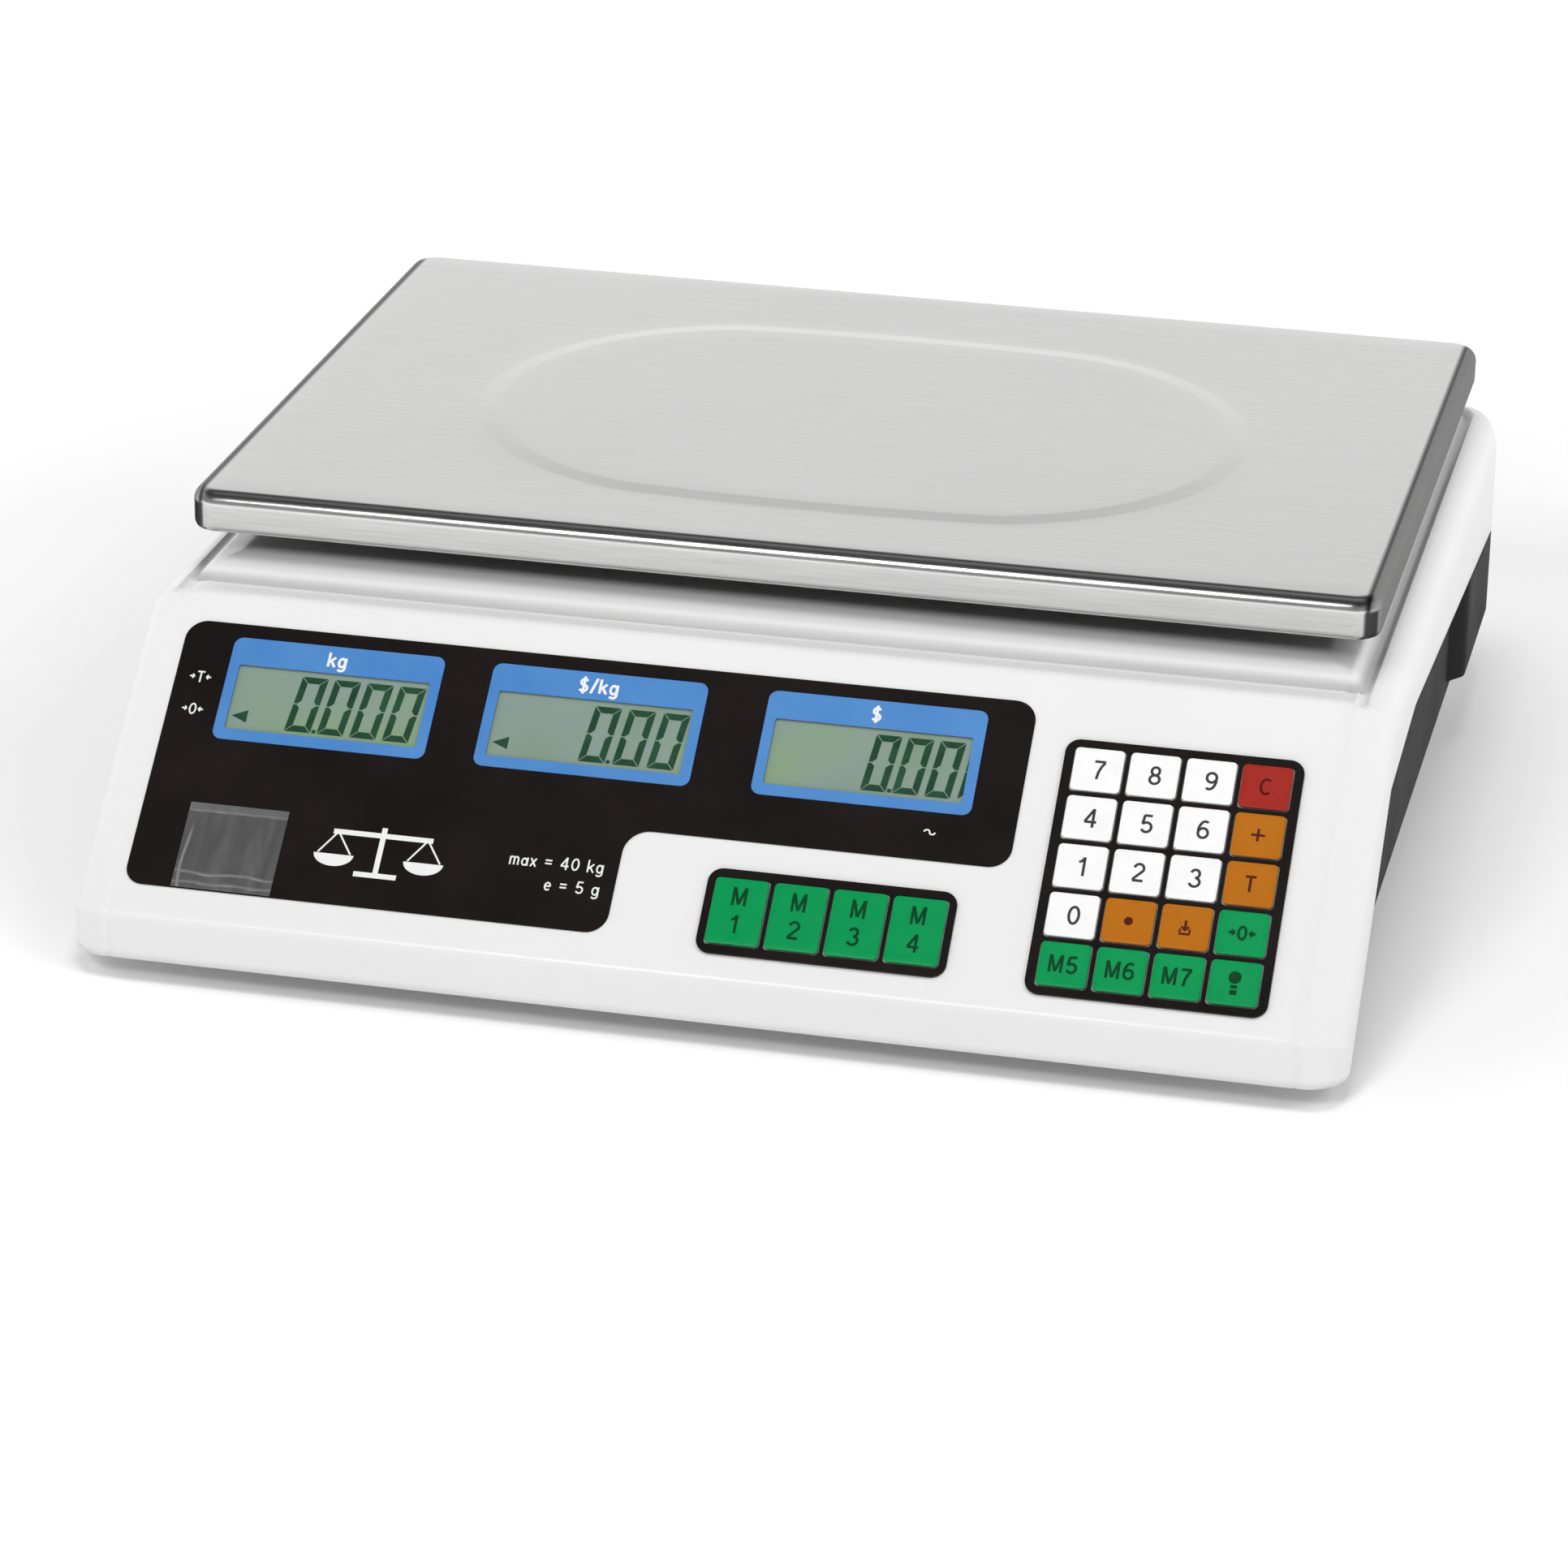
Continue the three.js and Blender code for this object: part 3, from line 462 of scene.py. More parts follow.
stations = np.concatenate([-SIDE_FLAT - SIDE_R * np.sin(angles[::-1]), flat[1:],
                           SIDE_FLAT + SIDE_R * np.sin(angles)])
inset += 0.4 * MM * np.exp(-(((np.abs(stations) - 162.3 * MM) / (1.0 * MM)) ** 2))
z_end = 49 * MM + inset * (68 - 49) / 206
outline, kinds = side_outline(inset, z_end)
run = np.array([k for k, _ in kinds])
share = np.array([s for _, s in kinds])
X = np.broadcast_to(stations, outline.shape[:2]).copy()
Y, Z = outline[..., 0].copy(), outline[..., 1].copy()


RAISED_W, RAISED_D, RAISED_Y, RAISED_R = 164 * MM, 118.5 * MM, 39.5 * MM, 3.5 * MM
SPUR_START = -76 * MM


def outside_round(x, y, half_w, half_d, radius):
    """Distance of (x, y) outside a round rectangle about the origin, less than 0 inside it."""
    px, py = np.abs(x) - (half_w - radius), np.abs(y) - (half_d - radius)
    return np.hypot(np.maximum(px, 0), np.maximum(py, 0)) + np.minimum(np.maximum(px, py), 0) - radius


def outside_of(x, y):
    """Distance outside the round rectangle that the raised middle fills."""
    return outside_round(x, y - RAISED_Y, RAISED_W, RAISED_D, RAISED_R)


def groove(x, y):
    """Share of the groove's depth: a flat-bottomed trough just outside the raised middle, whose
    sides run on to the front as spurs."""
    trough = np.exp(-(((outside_of(x, y) - 1.3 * MM) / (1.35 * MM)) ** 4))
    spur = np.exp(-(((np.abs(x) - 165.3 * MM) / (1.35 * MM)) ** 4))
    return np.maximum(trough, spur * np.clip((y + 93 * MM) / (8 * MM), 0, 1) * (y < SPUR_START))


def plateau(x, y):
    """Height over the ledge by the distance inside the raised middle: the groove 1.5 mm deep, a
    steep foot 2.6 mm high, then a gentle slope to 5 mm. A low bead runs along the front."""
    outside = outside_of(x, y)
    ramp = np.interp(-outside / MM, [0, 0.5, 2.0, 2.9, 10.2, 11.4], [0, 0.25, 2.1, 2.6, 4.85, 5.0]) * MM
    bead = np.exp(-(((outside - 3.5 * MM) / (0.7 * MM)) ** 2)) * (y < -78 * MM) * (np.abs(x) < 160 * MM)
    return ramp - 1.5 * MM * groove(x, y) + 0.35 * MM * bead


on_top = (run >= 1.5) & (run <= 2.5)
Z[on_top] += plateau(X[on_top], Y[on_top]) * np.clip((Z[on_top] - 78 * MM) / (6 * MM), 0, 1)

# Side walls: straight rulings from the drawn-in outline down to the lower edge.
lower_y = np.select(
    [run == 0, run == 0.5, run == 1, run == 1.5, run == 2, run == 2.5],
    [-153 + 4 * share, -149, -149 + (149 - 92) * share, -92, -92 + (92 + 152.6) * share, 152.6 + 0.2 * share],
    152.8 + 0.2 * share) * MM
lower_z = lower_edge(lower_y)
lower_z[(run == 3) & (share == 1)] = z_end[0]
steps = np.linspace(0, 1, 7)[1:]
sides = []
for column in (0, -1):
    y_wall = Y[:, column][:, None] + (lower_y - Y[:, column])[:, None] * steps
    z_wall = Z[:, column][:, None] + (lower_z - Z[:, column])[:, None] * steps
    sides.append(np.stack([np.full(y_wall.shape, stations[column]), y_wall, z_wall], -1))
skin = np.concatenate([sides[0][:, ::-1], np.stack([X, Y, Z], -1), sides[1]], axis=1)


def within(values, centre, size):
    """Which values in metres lie within size, centred on centre, both in millimetres."""
    return abs(values - centre * MM) < size / 2 * MM


def on_run(k):
    """Which rows of cells in the skin lie on straight run k of its side view."""
    return ((run[:-1] == k) & (run[1:] == k))[:, None]


# Openings: cells inside an LCD window, the level's peep hole, or a square round a post.
mid = (skin[:-1, :-1] + skin[1:, 1:]) / 2
face_v = (mid[..., 2] - CREASE_Z) / math.sin(SLOPE)
on_face, on_roof = on_run(1), on_run(2)
gone = on_face & within(mid[..., 0], LEVEL_U, 24) & within(face_v, LEVEL_V, 20)
for centre in LCD_CENTRES.values():
    gone |= on_face & within(mid[..., 0], centre, OPENING_W) & within(face_v, LCD_SEEN_V, OPENING_H)
for px, py in POSTS:
    gone |= on_roof & (abs(mid[..., 0] - px) < POST_PATCH) & (abs(mid[..., 1] - py) < POST_PATCH)
faces = grid_faces(*skin.shape[:2], keep=~gone)
points = [skin.reshape(-1, 3)]
count = len(points[0])
roof_y = Y[on_top, MIDDLE_COLUMN]
for px, py in POSTS:
    # A patch from the square's own edge points in to the round hole, with a short collar down.
    gx = np.unique(np.round(stations[abs(stations - px) < POST_PATCH + 1e-5], 6))
    gy = np.unique(np.round(roof_y[abs(roof_y - py) < POST_PATCH + 1e-5], 6))
    square = np.array([(a, gy[0]) for a in gx[:-1]] + [(gx[-1], b) for b in gy[:-1]]
                      + [(a, gy[-1]) for a in gx[:0:-1]] + [(gx[0], b) for b in gy[:0:-1]])
    away = square - (px, py)
    circle = away / np.linalg.norm(away, axis=1)[:, None]
    rings = [at_height(square, PLATEAU_Z)]
    for radius, drop in ((10.2, 0), (9.4, 0.15), (9.05, 0.6), (9.0, 1.2)):
        rings.append(at_height((px, py) + circle * radius * MM, PLATEAU_Z - drop * MM))
    points.append(np.concatenate(rings))
    faces += grid_faces(len(rings), len(square), wrap=True, start=count)
    count += len(points[-1])
housing = mesh_piece("housing_skin", np.concatenate(points), faces, white_abs, smooth=50)
thickened(housing, 2.6 * MM)


def coordinates(piece):
    """The points of a piece's mesh as an (n, 3) array."""
    places = np.empty(len(piece.data.vertices) * 3)
    piece.data.vertices.foreach_get("co", places)
    return places.reshape(-1, 3)


def marked(piece, attribute, values):
    """Gives a piece's points an attribute for its material to read."""
    piece.data.attributes.new(attribute, "FLOAT", "POINT").data.foreach_set("value", values)


# Painted shade: the grooves and their spurs get a share of grey that stands for the shade in them.
x, y, z = coordinates(housing).T
groove_shade_share = np.exp(-(((outside_of(x, y) - 0.4 * MM) / (1.7 * MM)) ** 4)) * (z > LEDGE_Z - 4 * MM)
marked(housing, "groove_shade", groove_shade_share * np.where(y < SPUR_START, 0.62, 0.72))
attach(housing, "case")
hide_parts("top_housing")

# ---- Platter
# Pressed from one stainless sheet: a flat top whose middle is pressed up a little inside a
# sloping ring, a rolled edge and a turned-down skirt with a hemmed rim. It rests on four rubber
# caps and lifts off.


def steel_of(name, colour, rough, streak, bend=1.0):
    """Satin metal whose grain runs along X: noise stretched along X drives the roughness and a
    relief of streak metres. Further out along X than bend the metal is rougher, and its colour
    and the tint of its reflection are painted darker, with a painted dark line where the bend
    begins: painted shade and painted dim reflection on the rolled ends. An attribute marks the
    back, which is painted near black as the shade under the sheet."""
    material, add, place = new_material(name)
    drawn = add("ShaderNodeMapping", {"Vector": place, "Scale": (40.0, 4000.0, 1500.0)})
    lines = noise(add, drawn.outputs[0], 1.0, Detail=3.0)
    cloud = noise(add, place, 6.0, Detail=2.0)
    along_x = add("ShaderNodeSeparateXYZ", {0: place}).outputs["X"]
    ends = add("ShaderNodeMath", {0: along_x}, operation="ABSOLUTE")
    out = ranged(add, ends.outputs[0], bend - 0.001, bend + 0.004)
    # Painted shade: past the bend the colour drops to a dark line, then stays darker.
    shade = ramp_of(add, out, greys((0.0, 1), (0.2, 0.12), (0.3, 0.12), (0.42, 0.62), (1.0, 0.55)))
    cloudy = ramp_of(add, cloud, [(0.25, colour), (0.75, tuple(0.95 * c for c in colour))])
    brushed = mixed(add, 1.0, cloudy, ramp_of(add, lines, greys((0.3, 0.86), (0.7, 1))), "MULTIPLY")
    painted_end_shade = mixed(add, 1.0, brushed, shade, "MULTIPLY")
    # Painted shade: the marked back goes near black.
    underside_shade = add("ShaderNodeAttribute", attribute_name="underside_shade").outputs["Fac"]
    tint = mixed(add, underside_shade, painted_end_shade, (0.05, 0.05, 0.05, 1))
    gloss = ranged(add, lines, 0.3, 0.7, *rough)
    rubbed = add("ShaderNodeMix", {0: out, 2: gloss, 3: 0.5}).outputs[0]
    # Painted dim reflection: past the bend the reflection's tint is darkened.
    dimmed_end_reflection = ramp_of(add, out, greys((0.15, 1), (0.4, 0.4)))
    shaded(add, tint, rubbed, relief(add, lines, streak), Metallic=1.0, **{"Specular Tint": dimmed_end_reflection})
    return material


stainless = steel_of("satin_stainless", (0.58, 0.58, 0.576), (0.17, 0.24), 0.000002, bend=0.1638)
PAN_W, PAN_D, PAN_Y, PAN_TOP = 167.5 * MM, 115 * MM, 40 * MM, 110 * MM
ROLL_R, PAN_CORNER = 4 * MM, 8 * MM
SHEET, FOLD = 1.0 * MM, 3.0 * MM
RING_X, RING_Y = 2 * MM, 34 * MM
RING_STRAIGHT, RING_R, RING_FALL = 34 * MM, 76 * MM, 0.5 * MM


def stadium(out, angle):
    """Point (x, y) at an angle round the ring, out metres outside its middle line: two half
    circles joined by straights, met by rays from the two ends of its middle line."""
    c, s = np.cos(angle), np.sin(angle)
    r = RING_R + out
    shift = np.clip(c * 4, -1, 1) * RING_STRAIGHT
    return np.stack([RING_X + shift + r * c, RING_Y + r * s], -1)


outer = divided(round_loop(PAN_W, PAN_Y - PAN_D, PAN_Y + PAN_D, PAN_CORNER, 12), 4 * MM)
angle = np.unwrap(np.arctan2(outer[:, 1] - PAN_Y, outer[:, 0]))


def pan_loop(inset):
    """The platter's outline drawn in by inset: straight sides move in and corners tighten."""
    corner_x, corner_y = PAN_W - PAN_CORNER, PAN_D - PAN_CORNER
    cx = np.clip(outer[:, 0], -corner_x, corner_x)
    cy = np.clip(outer[:, 1] - PAN_Y, -corner_y, corner_y)
    away = outer - np.stack([cx, cy + PAN_Y], -1)
    length = np.maximum(np.linalg.norm(away, axis=1), 1e-9)
    return outer - away / length[:, None] * inset


def pan_depth(place):
    """How far points lie inside the outline, by the round-rectangle distance."""
    return -outside_round(place[:, 0], place[:, 1] - PAN_Y, PAN_W, PAN_D, PAN_CORNER)


levels = [at_height(stadium(-RING_R * (1 - scale), angle), PAN_TOP) for scale in (0.0, 0.25, 0.5, 0.7, 0.85)]
for out in np.linspace(-3.6, 3.6, 17):
    fall = RING_FALL * np.interp(out, [-3.6, -2.8, 2.8, 3.6], [0, 0.06, 0.94, 1])
    levels.append(at_height(stadium(out * MM, angle), PAN_TOP - fall))
near, flat_edge = stadium(3.6 * MM, angle), pan_loop(ROLL_R)
for share in (0.15, 0.35, 0.6, 0.85, 1.0):
    levels.append(at_height(near + (flat_edge - near) * share, PAN_TOP - RING_FALL))
for t in np.linspace(0, np.pi / 2, 12)[1:]:
    drop = RING_FALL + ROLL_R * (1 - np.cos(t))
    levels.append(at_height(pan_loop(ROLL_R * (1 - np.sin(t))), PAN_TOP - drop))
for drop, inward in ((7, 0), (10.2, 0), (10.5, 0.03), (10.9, 0.14), (11.4, 0.34), (11.8, 0.55), (12, 0.75),
                     (11.9, 0.95), (11.2, 1.0)):
    levels.append(at_height(pan_loop(inward * MM), PAN_TOP - drop * MM))
levels.append(at_height(pan_loop(SHEET), PAN_TOP - ROLL_R))
for t in np.linspace(0, np.pi / 2, 5)[1:]:
    levels.append(at_height(pan_loop(SHEET + FOLD * (1 - np.cos(t))),
                            PAN_TOP - SHEET - FOLD * (1 - np.sin(t))))
for share in (0.02, 0):
    levels.append(at_height(share * (outer - (0, PAN_Y)) + (0, PAN_Y), PAN_TOP - 1.6 * MM))
pan = lofted("platter_pan", levels[::-1], stainless, smooth=60)
# The back, painted near black as shade: all points under the sheet and behind the skirt.
place = coordinates(pan)
x, y, z = np.abs(place - (0, PAN_Y, 0)).T
depth = pan_depth(place)
under = (z < PAN_TOP - 0.9 * MM) & (x < PAN_W - 0.9 * MM) & (y < PAN_D - 0.9 * MM)
on_roll = (z > PAN_TOP - 4.2 * MM) & (depth < 3.99 * MM)
behind_skirt = (depth > 0.9 * MM) & (z < PAN_TOP - 4.0 * MM)
marked(pan, "underside_shade", (under & (~on_roll | behind_skirt)).astype(float))
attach(pan, "platter")
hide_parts("weighing_platter")

# ---- Weighing gear under the platter
# A cast aluminium spider on the load cell's free end carries the platter on four posts with
# rubber caps. The cell is a machined bar on a zinc-plated floor plate, with an overload stop.


def dress(material, *nodes):
    """Gives CAD nodes whose shape is right their finish."""
    for node in nodes:
        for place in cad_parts[node].material_slots:
            place.material = material


cast = finish_of("cast_aluminium", (0.55, 0.56, 0.57), ((0.47, 0.48, 0.49), 0.03), (0.42, 0.6),
                 (0.0012, 0.00012), Metallic=1.0)
machined = steel_of("machined_aluminium", (0.68, 0.69, 0.70), (0.2, 0.35), 0.00001)
zinc = finish_of("zinc_plate", (0.50, 0.50, 0.47), ((0.42, 0.43, 0.46), 0.02), (0.25, 0.45),
                 (0.0008, 0.00002), Metallic=1.0)
rubber = finish_of("black_rubber", (0.018, 0.018, 0.018), ((0.026, 0.026, 0.025), 0.01), (0.7, 0.85),
                   (0.0005, 0.00004))
ENDS = [(end, side) for side in ("left", "right") for end in ("front", "back")]
dress(cast, "platter_support")
dress(machined, "load_cell")
dress(zinc, "load_cell_plate", "overload_stop_screw")
dress(rubber, *[f"support_pad_{end}_{side}" for end, side in ENDS])

# ---- Levelling feet
# Black rubber moulded over a plated M8 stud. The skirt has grip ribs for turning it by hand.

STUD_LOW, STUD_TOP, STUD_R, THREAD, THREAD_PITCH = 17.2 * MM, 32 * MM, 3.7 * MM, 0.28 * MM, 1.25 * MM
around = np.linspace(0, 2 * np.pi, 145)[:-1]
circle = np.stack([np.cos(around), np.sin(around)], -1)
ribs = 0.45 * MM * (0.5 + 0.5 * np.cos(24 * around))
foot_profile = [
    (0, 0, 0), (8, 0, 0), (12.2, 0, 0), (13, 0.25, 0), (14.2, 1.2, 0.3), (14.6, 2.5, 1), (14.8, 8, 1),
    (15.0, 12.2, 1), (15.4, 13.2, 0.3), (16, 14, 0), (16, 16.6, 0), (15.6, 17.2, 0), (15, 17.4, 0),
    (4.2, 17.4, 0), (0, 17.4, 0),
]
for end, side in ENDS:
    low, high = np.array(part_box(f"levelling_foot_{end}_{side}"))
    centre = (low[:2] + high[:2]) / 2
    rows = []
    for r, z, ribbed in foot_profile:
        rows.append(at_height(centre + (r * MM - ribs * ribbed)[:, None] * circle, z * MM))
    foot = lofted(f"foot_{end}_{side}", rows, rubber)
    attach(foot, f"foot_{end}_{side}")
    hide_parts(f"levelling_foot_{end}_{side}")
    z = np.linspace(STUD_LOW, STUD_TOP, 75)
    thread = STUD_R + THREAD * np.cos(2 * np.pi * z[:, None] / THREAD_PITCH - around[::4])
    thread[0] = thread[-1] = 0
    rows = [at_height(centre + r[:, None] * circle[::4], height) for r, height in zip(thread, z)]
    stud = lofted(f"foot_stud_{end}_{side}", rows, zinc)
    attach(stud, f"foot_{end}_{side}")

# ---- Printed films on the face
# A black polyester overlay with blue surrounds round three windows, and a black film round each
# key block, all stuck to the sloping face. Sheets are cut with round corners.

FACE = Matrix.Translation((0, -HALF_D, CREASE_Z)) @ Matrix.Rotation(SLOPE, 4, "X")


def rounded(corners, radii, steps=8):
    """A closed outline through corners in millimetres, each rounded by its own radius with an
    arc tangent to both sides."""
    corners = np.array(corners, float)
    out = []
    for before, here, after, radius in zip(np.roll(corners, 1, 0), corners, np.roll(corners, -1, 0), radii):
        a, b = before - here, after - here
        a, b = a / np.linalg.norm(a), b / np.linalg.norm(b)
        half = math.acos(np.clip(a @ b, -1, 1)) / 2
        middle = (a + b) / np.linalg.norm(a + b)
        centre = here + middle * radius / math.sin(half)
        start, end = here + a * radius / math.tan(half) - centre, here + b * radius / math.tan(half) - centre
        t = np.linspace(0, 1, steps + 1)[:, None]
        span = math.pi - 2 * half
        out.append(centre + (start * np.sin((1 - t) * span) + end * np.sin(t * span)) / math.sin(span))
    return np.concatenate(out)


def rectangle(u, v, w, h, radius, steps=8):
    """Outline of a rectangle with round corners, centred on (u, v), in millimetres."""
    corners = [(u - w / 2, v - h / 2), (u + w / 2, v - h / 2), (u + w / 2, v + h / 2), (u - w / 2, v + h / 2)]
    return rounded(corners, [radius] * 4, steps)


def outward_faces(mesh, weld=0.0):
    """Turns a closed mesh's faces outward, once points nearer than weld are joined."""
    work = bmesh.new()
    work.from_mesh(mesh)
    if weld:
        bmesh.ops.remove_doubles(work, verts=work.verts, dist=weld)
    bmesh.ops.recalc_face_normals(work, faces=work.faces)
    work.to_mesh(mesh)
    work.free()


def film(name, outlines, low, high, material, body="case"):
    """A flat sheet between two heights over the face, in millimetres: the first outline with
    the others cut out, or added as islands."""
    curve = bpy.data.curves.new(name, "CURVE")
    curve.dimensions, curve.fill_mode, curve.extrude = "2D", "BOTH", (high - low) * MM / 2
    for outline in outlines:
        line = curve.splines.new("POLY")
        line.points.add(len(outline) - 1)
        line.points.foreach_set("co", np.insert(at_height(outline * MM, 0), 3, 1, axis=1).ravel())
        line.use_cyclic_u = True
    holder = bpy.data.objects.new("cut", curve)
    bpy.context.scene.collection.objects.link(holder)
    bpy.context.view_layer.update()
    mesh = bpy.data.meshes.new_from_object(holder.evaluated_get(bpy.context.evaluated_depsgraph_get()))
    bpy.data.objects.remove(holder)
    bpy.data.curves.remove(curve)
    mesh.transform(FACE @ Matrix.Translation((0, 0, (low + high) * MM / 2)))
    outward_faces(mesh, 1e-6)
    mesh.name = name
    mesh.materials.append(material)
    made = bpy.data.objects.new(name, mesh)
    bpy.context.scene.collection.objects.link(made)
    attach(made, body)
    return made


black_film = finish_of("black_film", (0.0095, 0.0070, 0.0066), ((0.014, 0.0105, 0.0098), 0.03), (0.20, 0.26),
                       (0.0009, 0.000004), **{"Specular IOR Level": 0.25})
blue_film = finish_of("blue_film", (0.062, 0.215, 0.53), ((0.080, 0.245, 0.56), 0.02), (0.28, 0.36),
                      (0.0009, 0.000006))
white_ink = finish_of("white_ink", (0.82, 0.82, 0.82), ((0.78, 0.78, 0.78), 0.004), (0.4, 0.5),
                      (0.0006, 0.000004))
LCD_W, LCD_H, LCD_V = 60.5, 31.5, 71.0
SEEN_W, SEEN_H = 54.6, 19.9
overlay_outline = rounded([(-160, 9.5), (-25, 9.5), (-25, 41), (79.5, 41), (79.5, 91), (-160, 91)],
                          [5, 6, 7, 6, 6, 6])
windows = [rectangle(u, LCD_V, LCD_W - 0.6, LCD_H - 0.6, 3) for u in LCD_CENTRES.values()]
overlay = film("face_overlay", [overlay_outline, *windows, rectangle(LEVEL_U, LEVEL_V, 22, 19, 1)],
               0.02, 0.35, black_film)
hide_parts("display_overlay")
for which, u in LCD_CENTRES.items():
    seen = rectangle(u, LCD_SEEN_V, SEEN_W, SEEN_H, 0.7)
    surround = film(f"surround_{which}", [rectangle(u, LCD_V, LCD_W, LCD_H, 2.6), seen],
                    0.36, 0.6, blue_film)
    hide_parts(f"window_frame_{which}")

# ---- LCDs
# Reflective glass panels behind the windows, grey-green with greener patches here and there,
# and dark leaning seven-segment figures. Each reads zero, right-aligned.

lcd_glass, add, place = new_material("lcd_glass")
tint = ramp_of(add, noise(add, place, 28.0, Detail=2.0),
               [(0.3, (0.190, 0.285, 0.195)), (0.5, (0.225, 0.30, 0.265)), (0.72, (0.215, 0.33, 0.185))])
shaded(add, tint, 0.35, relief(add, noise(add, place, 1500.0), 0.000003),
       **{"Coat Weight": 0.25, "Coat Roughness": 0.08})
lcd_ink = finish_of("lcd_segments", (0.010, 0.045, 0.022), ((0.014, 0.070, 0.030), 0.006), (0.3, 0.4),
                    (0.0006, 0.000003))
dress(lcd_glass, *[f"lcd_{which}" for which in LCD_CENTRES])
DIGIT_LOW, DIGIT_H, STROKE, LEAN = 59.9, 17.0, 1.9, 0.11


def segments(u, v, w, lit):
    """Outlines of the lit bars of one leaning figure w wide, a to f clockwise from the top. Each
    bar is a pentagon or a trapezium cut back so that a hair line shows between bars."""
    h, s, g = DIGIT_H, STROKE, 0.18
    half = h / 2
    bars = {
        "a": [(g, h), (w - g, h), (w - s - g, h - s), (s + g, h - s)],
        "b": [(w, h - g), (w, half + g), (w - s / 2, half + g), (w - s, half + s / 2 + g),
              (w - s, h - s - g)],
        "c": [(w, g), (w, half - g), (w - s / 2, half - g), (w - s, half - s / 2 - g), (w - s, s + g)],
        "d": [(g, 0), (w - g, 0), (w - s - g, s), (s + g, s)],
        "e": [(0, g), (0, half - g), (s / 2, half - g), (s, half - s / 2 - g), (s, s + g)],
        "f": [(0, h - g), (0, half + g), (s / 2, half + g), (s, half + s / 2 + g), (s, h - s - g)],
    }
    return [np.array([(u + x + LEAN * y, v + y) for x, y in bars[name]]) for name in lit]


# Each display's right edge, number of figures, their pitch and their width.
LCD_FIGURES = {"weight": (-90.6, 4, 9.3, 7.4), "unit_price": (-16.1, 3, 9.6, 7.4),
               "total": (60.2, 3, 8.8, 7.0)}
for which, (right, places, pitch, wide) in LCD_FIGURES.items():
    outlines = []
    for place in range(places):
        outlines += segments(right - wide - place * pitch, DIGIT_LOW, wide, "abcdef")
    outlines.append(rectangle(right - (places - 1) * pitch + 1.0, DIGIT_LOW + 0.6, 1.1, 1.1, 0.2, 2))
    if which == "total":
        # The next figure's left bars are half hidden by the surround.
        outlines += segments(right - wide + pitch + 0.2, DIGIT_LOW, wide, "ef")
    else:
        left = LCD_CENTRES[which] - 26.2
        outlines.append(np.array([(left, 63.0), (left + 4.4, 61.2), (left + 4.4, 65.0)]))
    film(f"figures_{which}", outlines, -0.1, -0.04, lcd_ink)

# ---- Level window
# A small smoked clear sheet over a hole, with the round level standing on the tray behind it.
# The sheet is a little crumpled, with shallow creases and long soft streaks down it. Its colour
# is painted lighter along the creases and over its top band, as painted highlights.

smoked, add, place = new_material("smoked_film")
drawn = add("ShaderNodeMapping", {"Vector": place, "Scale": (230.0, 50.0, 50.0)})
streaks = noise(add, drawn.outputs[0], 1.0, Detail=2.0, Distortion=0.6)
tint = ramp_of(add, streaks,
               [(0.3, (0.078, 0.078, 0.079)), (0.5, (0.095, 0.095, 0.096)), (0.75, (0.13,) * 3)])
crease_and_highlight = add("ShaderNodeAttribute", attribute_name="crease_and_highlight").outputs["Fac"]
# Painted highlight: the colour goes towards light grey along the creases and over the top band.
shaded(add, mixed(add, crease_and_highlight, tint, (0.30, 0.30, 0.30, 1)), 0.28, relief(add, streaks, 0.0002), Alpha=0.92)


def moved(points, matrix):
    """Points with x, y, z in their last axis, carried by a matrix."""
    matrix = np.array(matrix)
    return points @ matrix[:3, :3].T + matrix[:3, 3]


def crease(across, width, depth):
    """A ridge of the given depth where across is zero."""
    return depth * np.exp(-((across / width) ** 2))


SHEET_W, SHEET_H, SHEET_LOW = 28, 25.6, 9.8
u = np.linspace(-SHEET_W / 2, SHEET_W / 2, 113)[None, :]
v = np.linspace(0, SHEET_H, 103)[:, None]
edge = np.minimum(np.minimum(SHEET_W / 2 - abs(u), v), SHEET_H - v)
crease_and_highlight = np.maximum.reduce([
    crease(u + 12.3 + 0.5 * np.sin(v * 0.25), 0.35, 0.8) * np.clip((20 - v) / 6, 0, 1),
    crease(v - 4.6 - 0.35 * np.sin(u * 0.35), 0.3, 0.55),
    crease(v - 1.6 - 0.2 * np.sin(u * 0.5), 0.35, 0.45),
    crease(v - 23.4 + 0 * u, 0.3, 0.5),
    0.22 * (v > 23.4) + 0 * u,
])
crumple = 0.10 * np.sin(u * 0.8 + np.sin(v * 0.3) * 1.4) + 0.05 * np.sin(v * 0.6 + u * 0.2)
rise = 0.5 + (crumple + 0.25 * crease_and_highlight) * np.clip(edge / 2, 0, 1)
sheet_points = np.stack([LEVEL_U + u + 0 * v, SHEET_LOW + v + 0 * u, rise], -1) * MM
window = lofted("level_sheet", moved(sheet_points, FACE), smoked, wrap=False)
# The crease heights also mark where the painted highlights go.
marked(window, "crease_and_highlight", crease_and_highlight.ravel())
thickened(window, 0.15 * MM, offset=0)
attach(window, "case")
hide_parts("level_window")
vial_fluid = finish_of("level_fluid", (0.30, 0.48, 0.06), ((0.36, 0.55, 0.09), 0.01), (0.05, 0.1),
                       (0.01, 0.00001))
dress(vial_fluid, "level_vial")

# ---- Key blocks
# Domed membrane keys: each cap is an embossed cell of printed film that gives half a millimetre.
# The black film round them stays still.

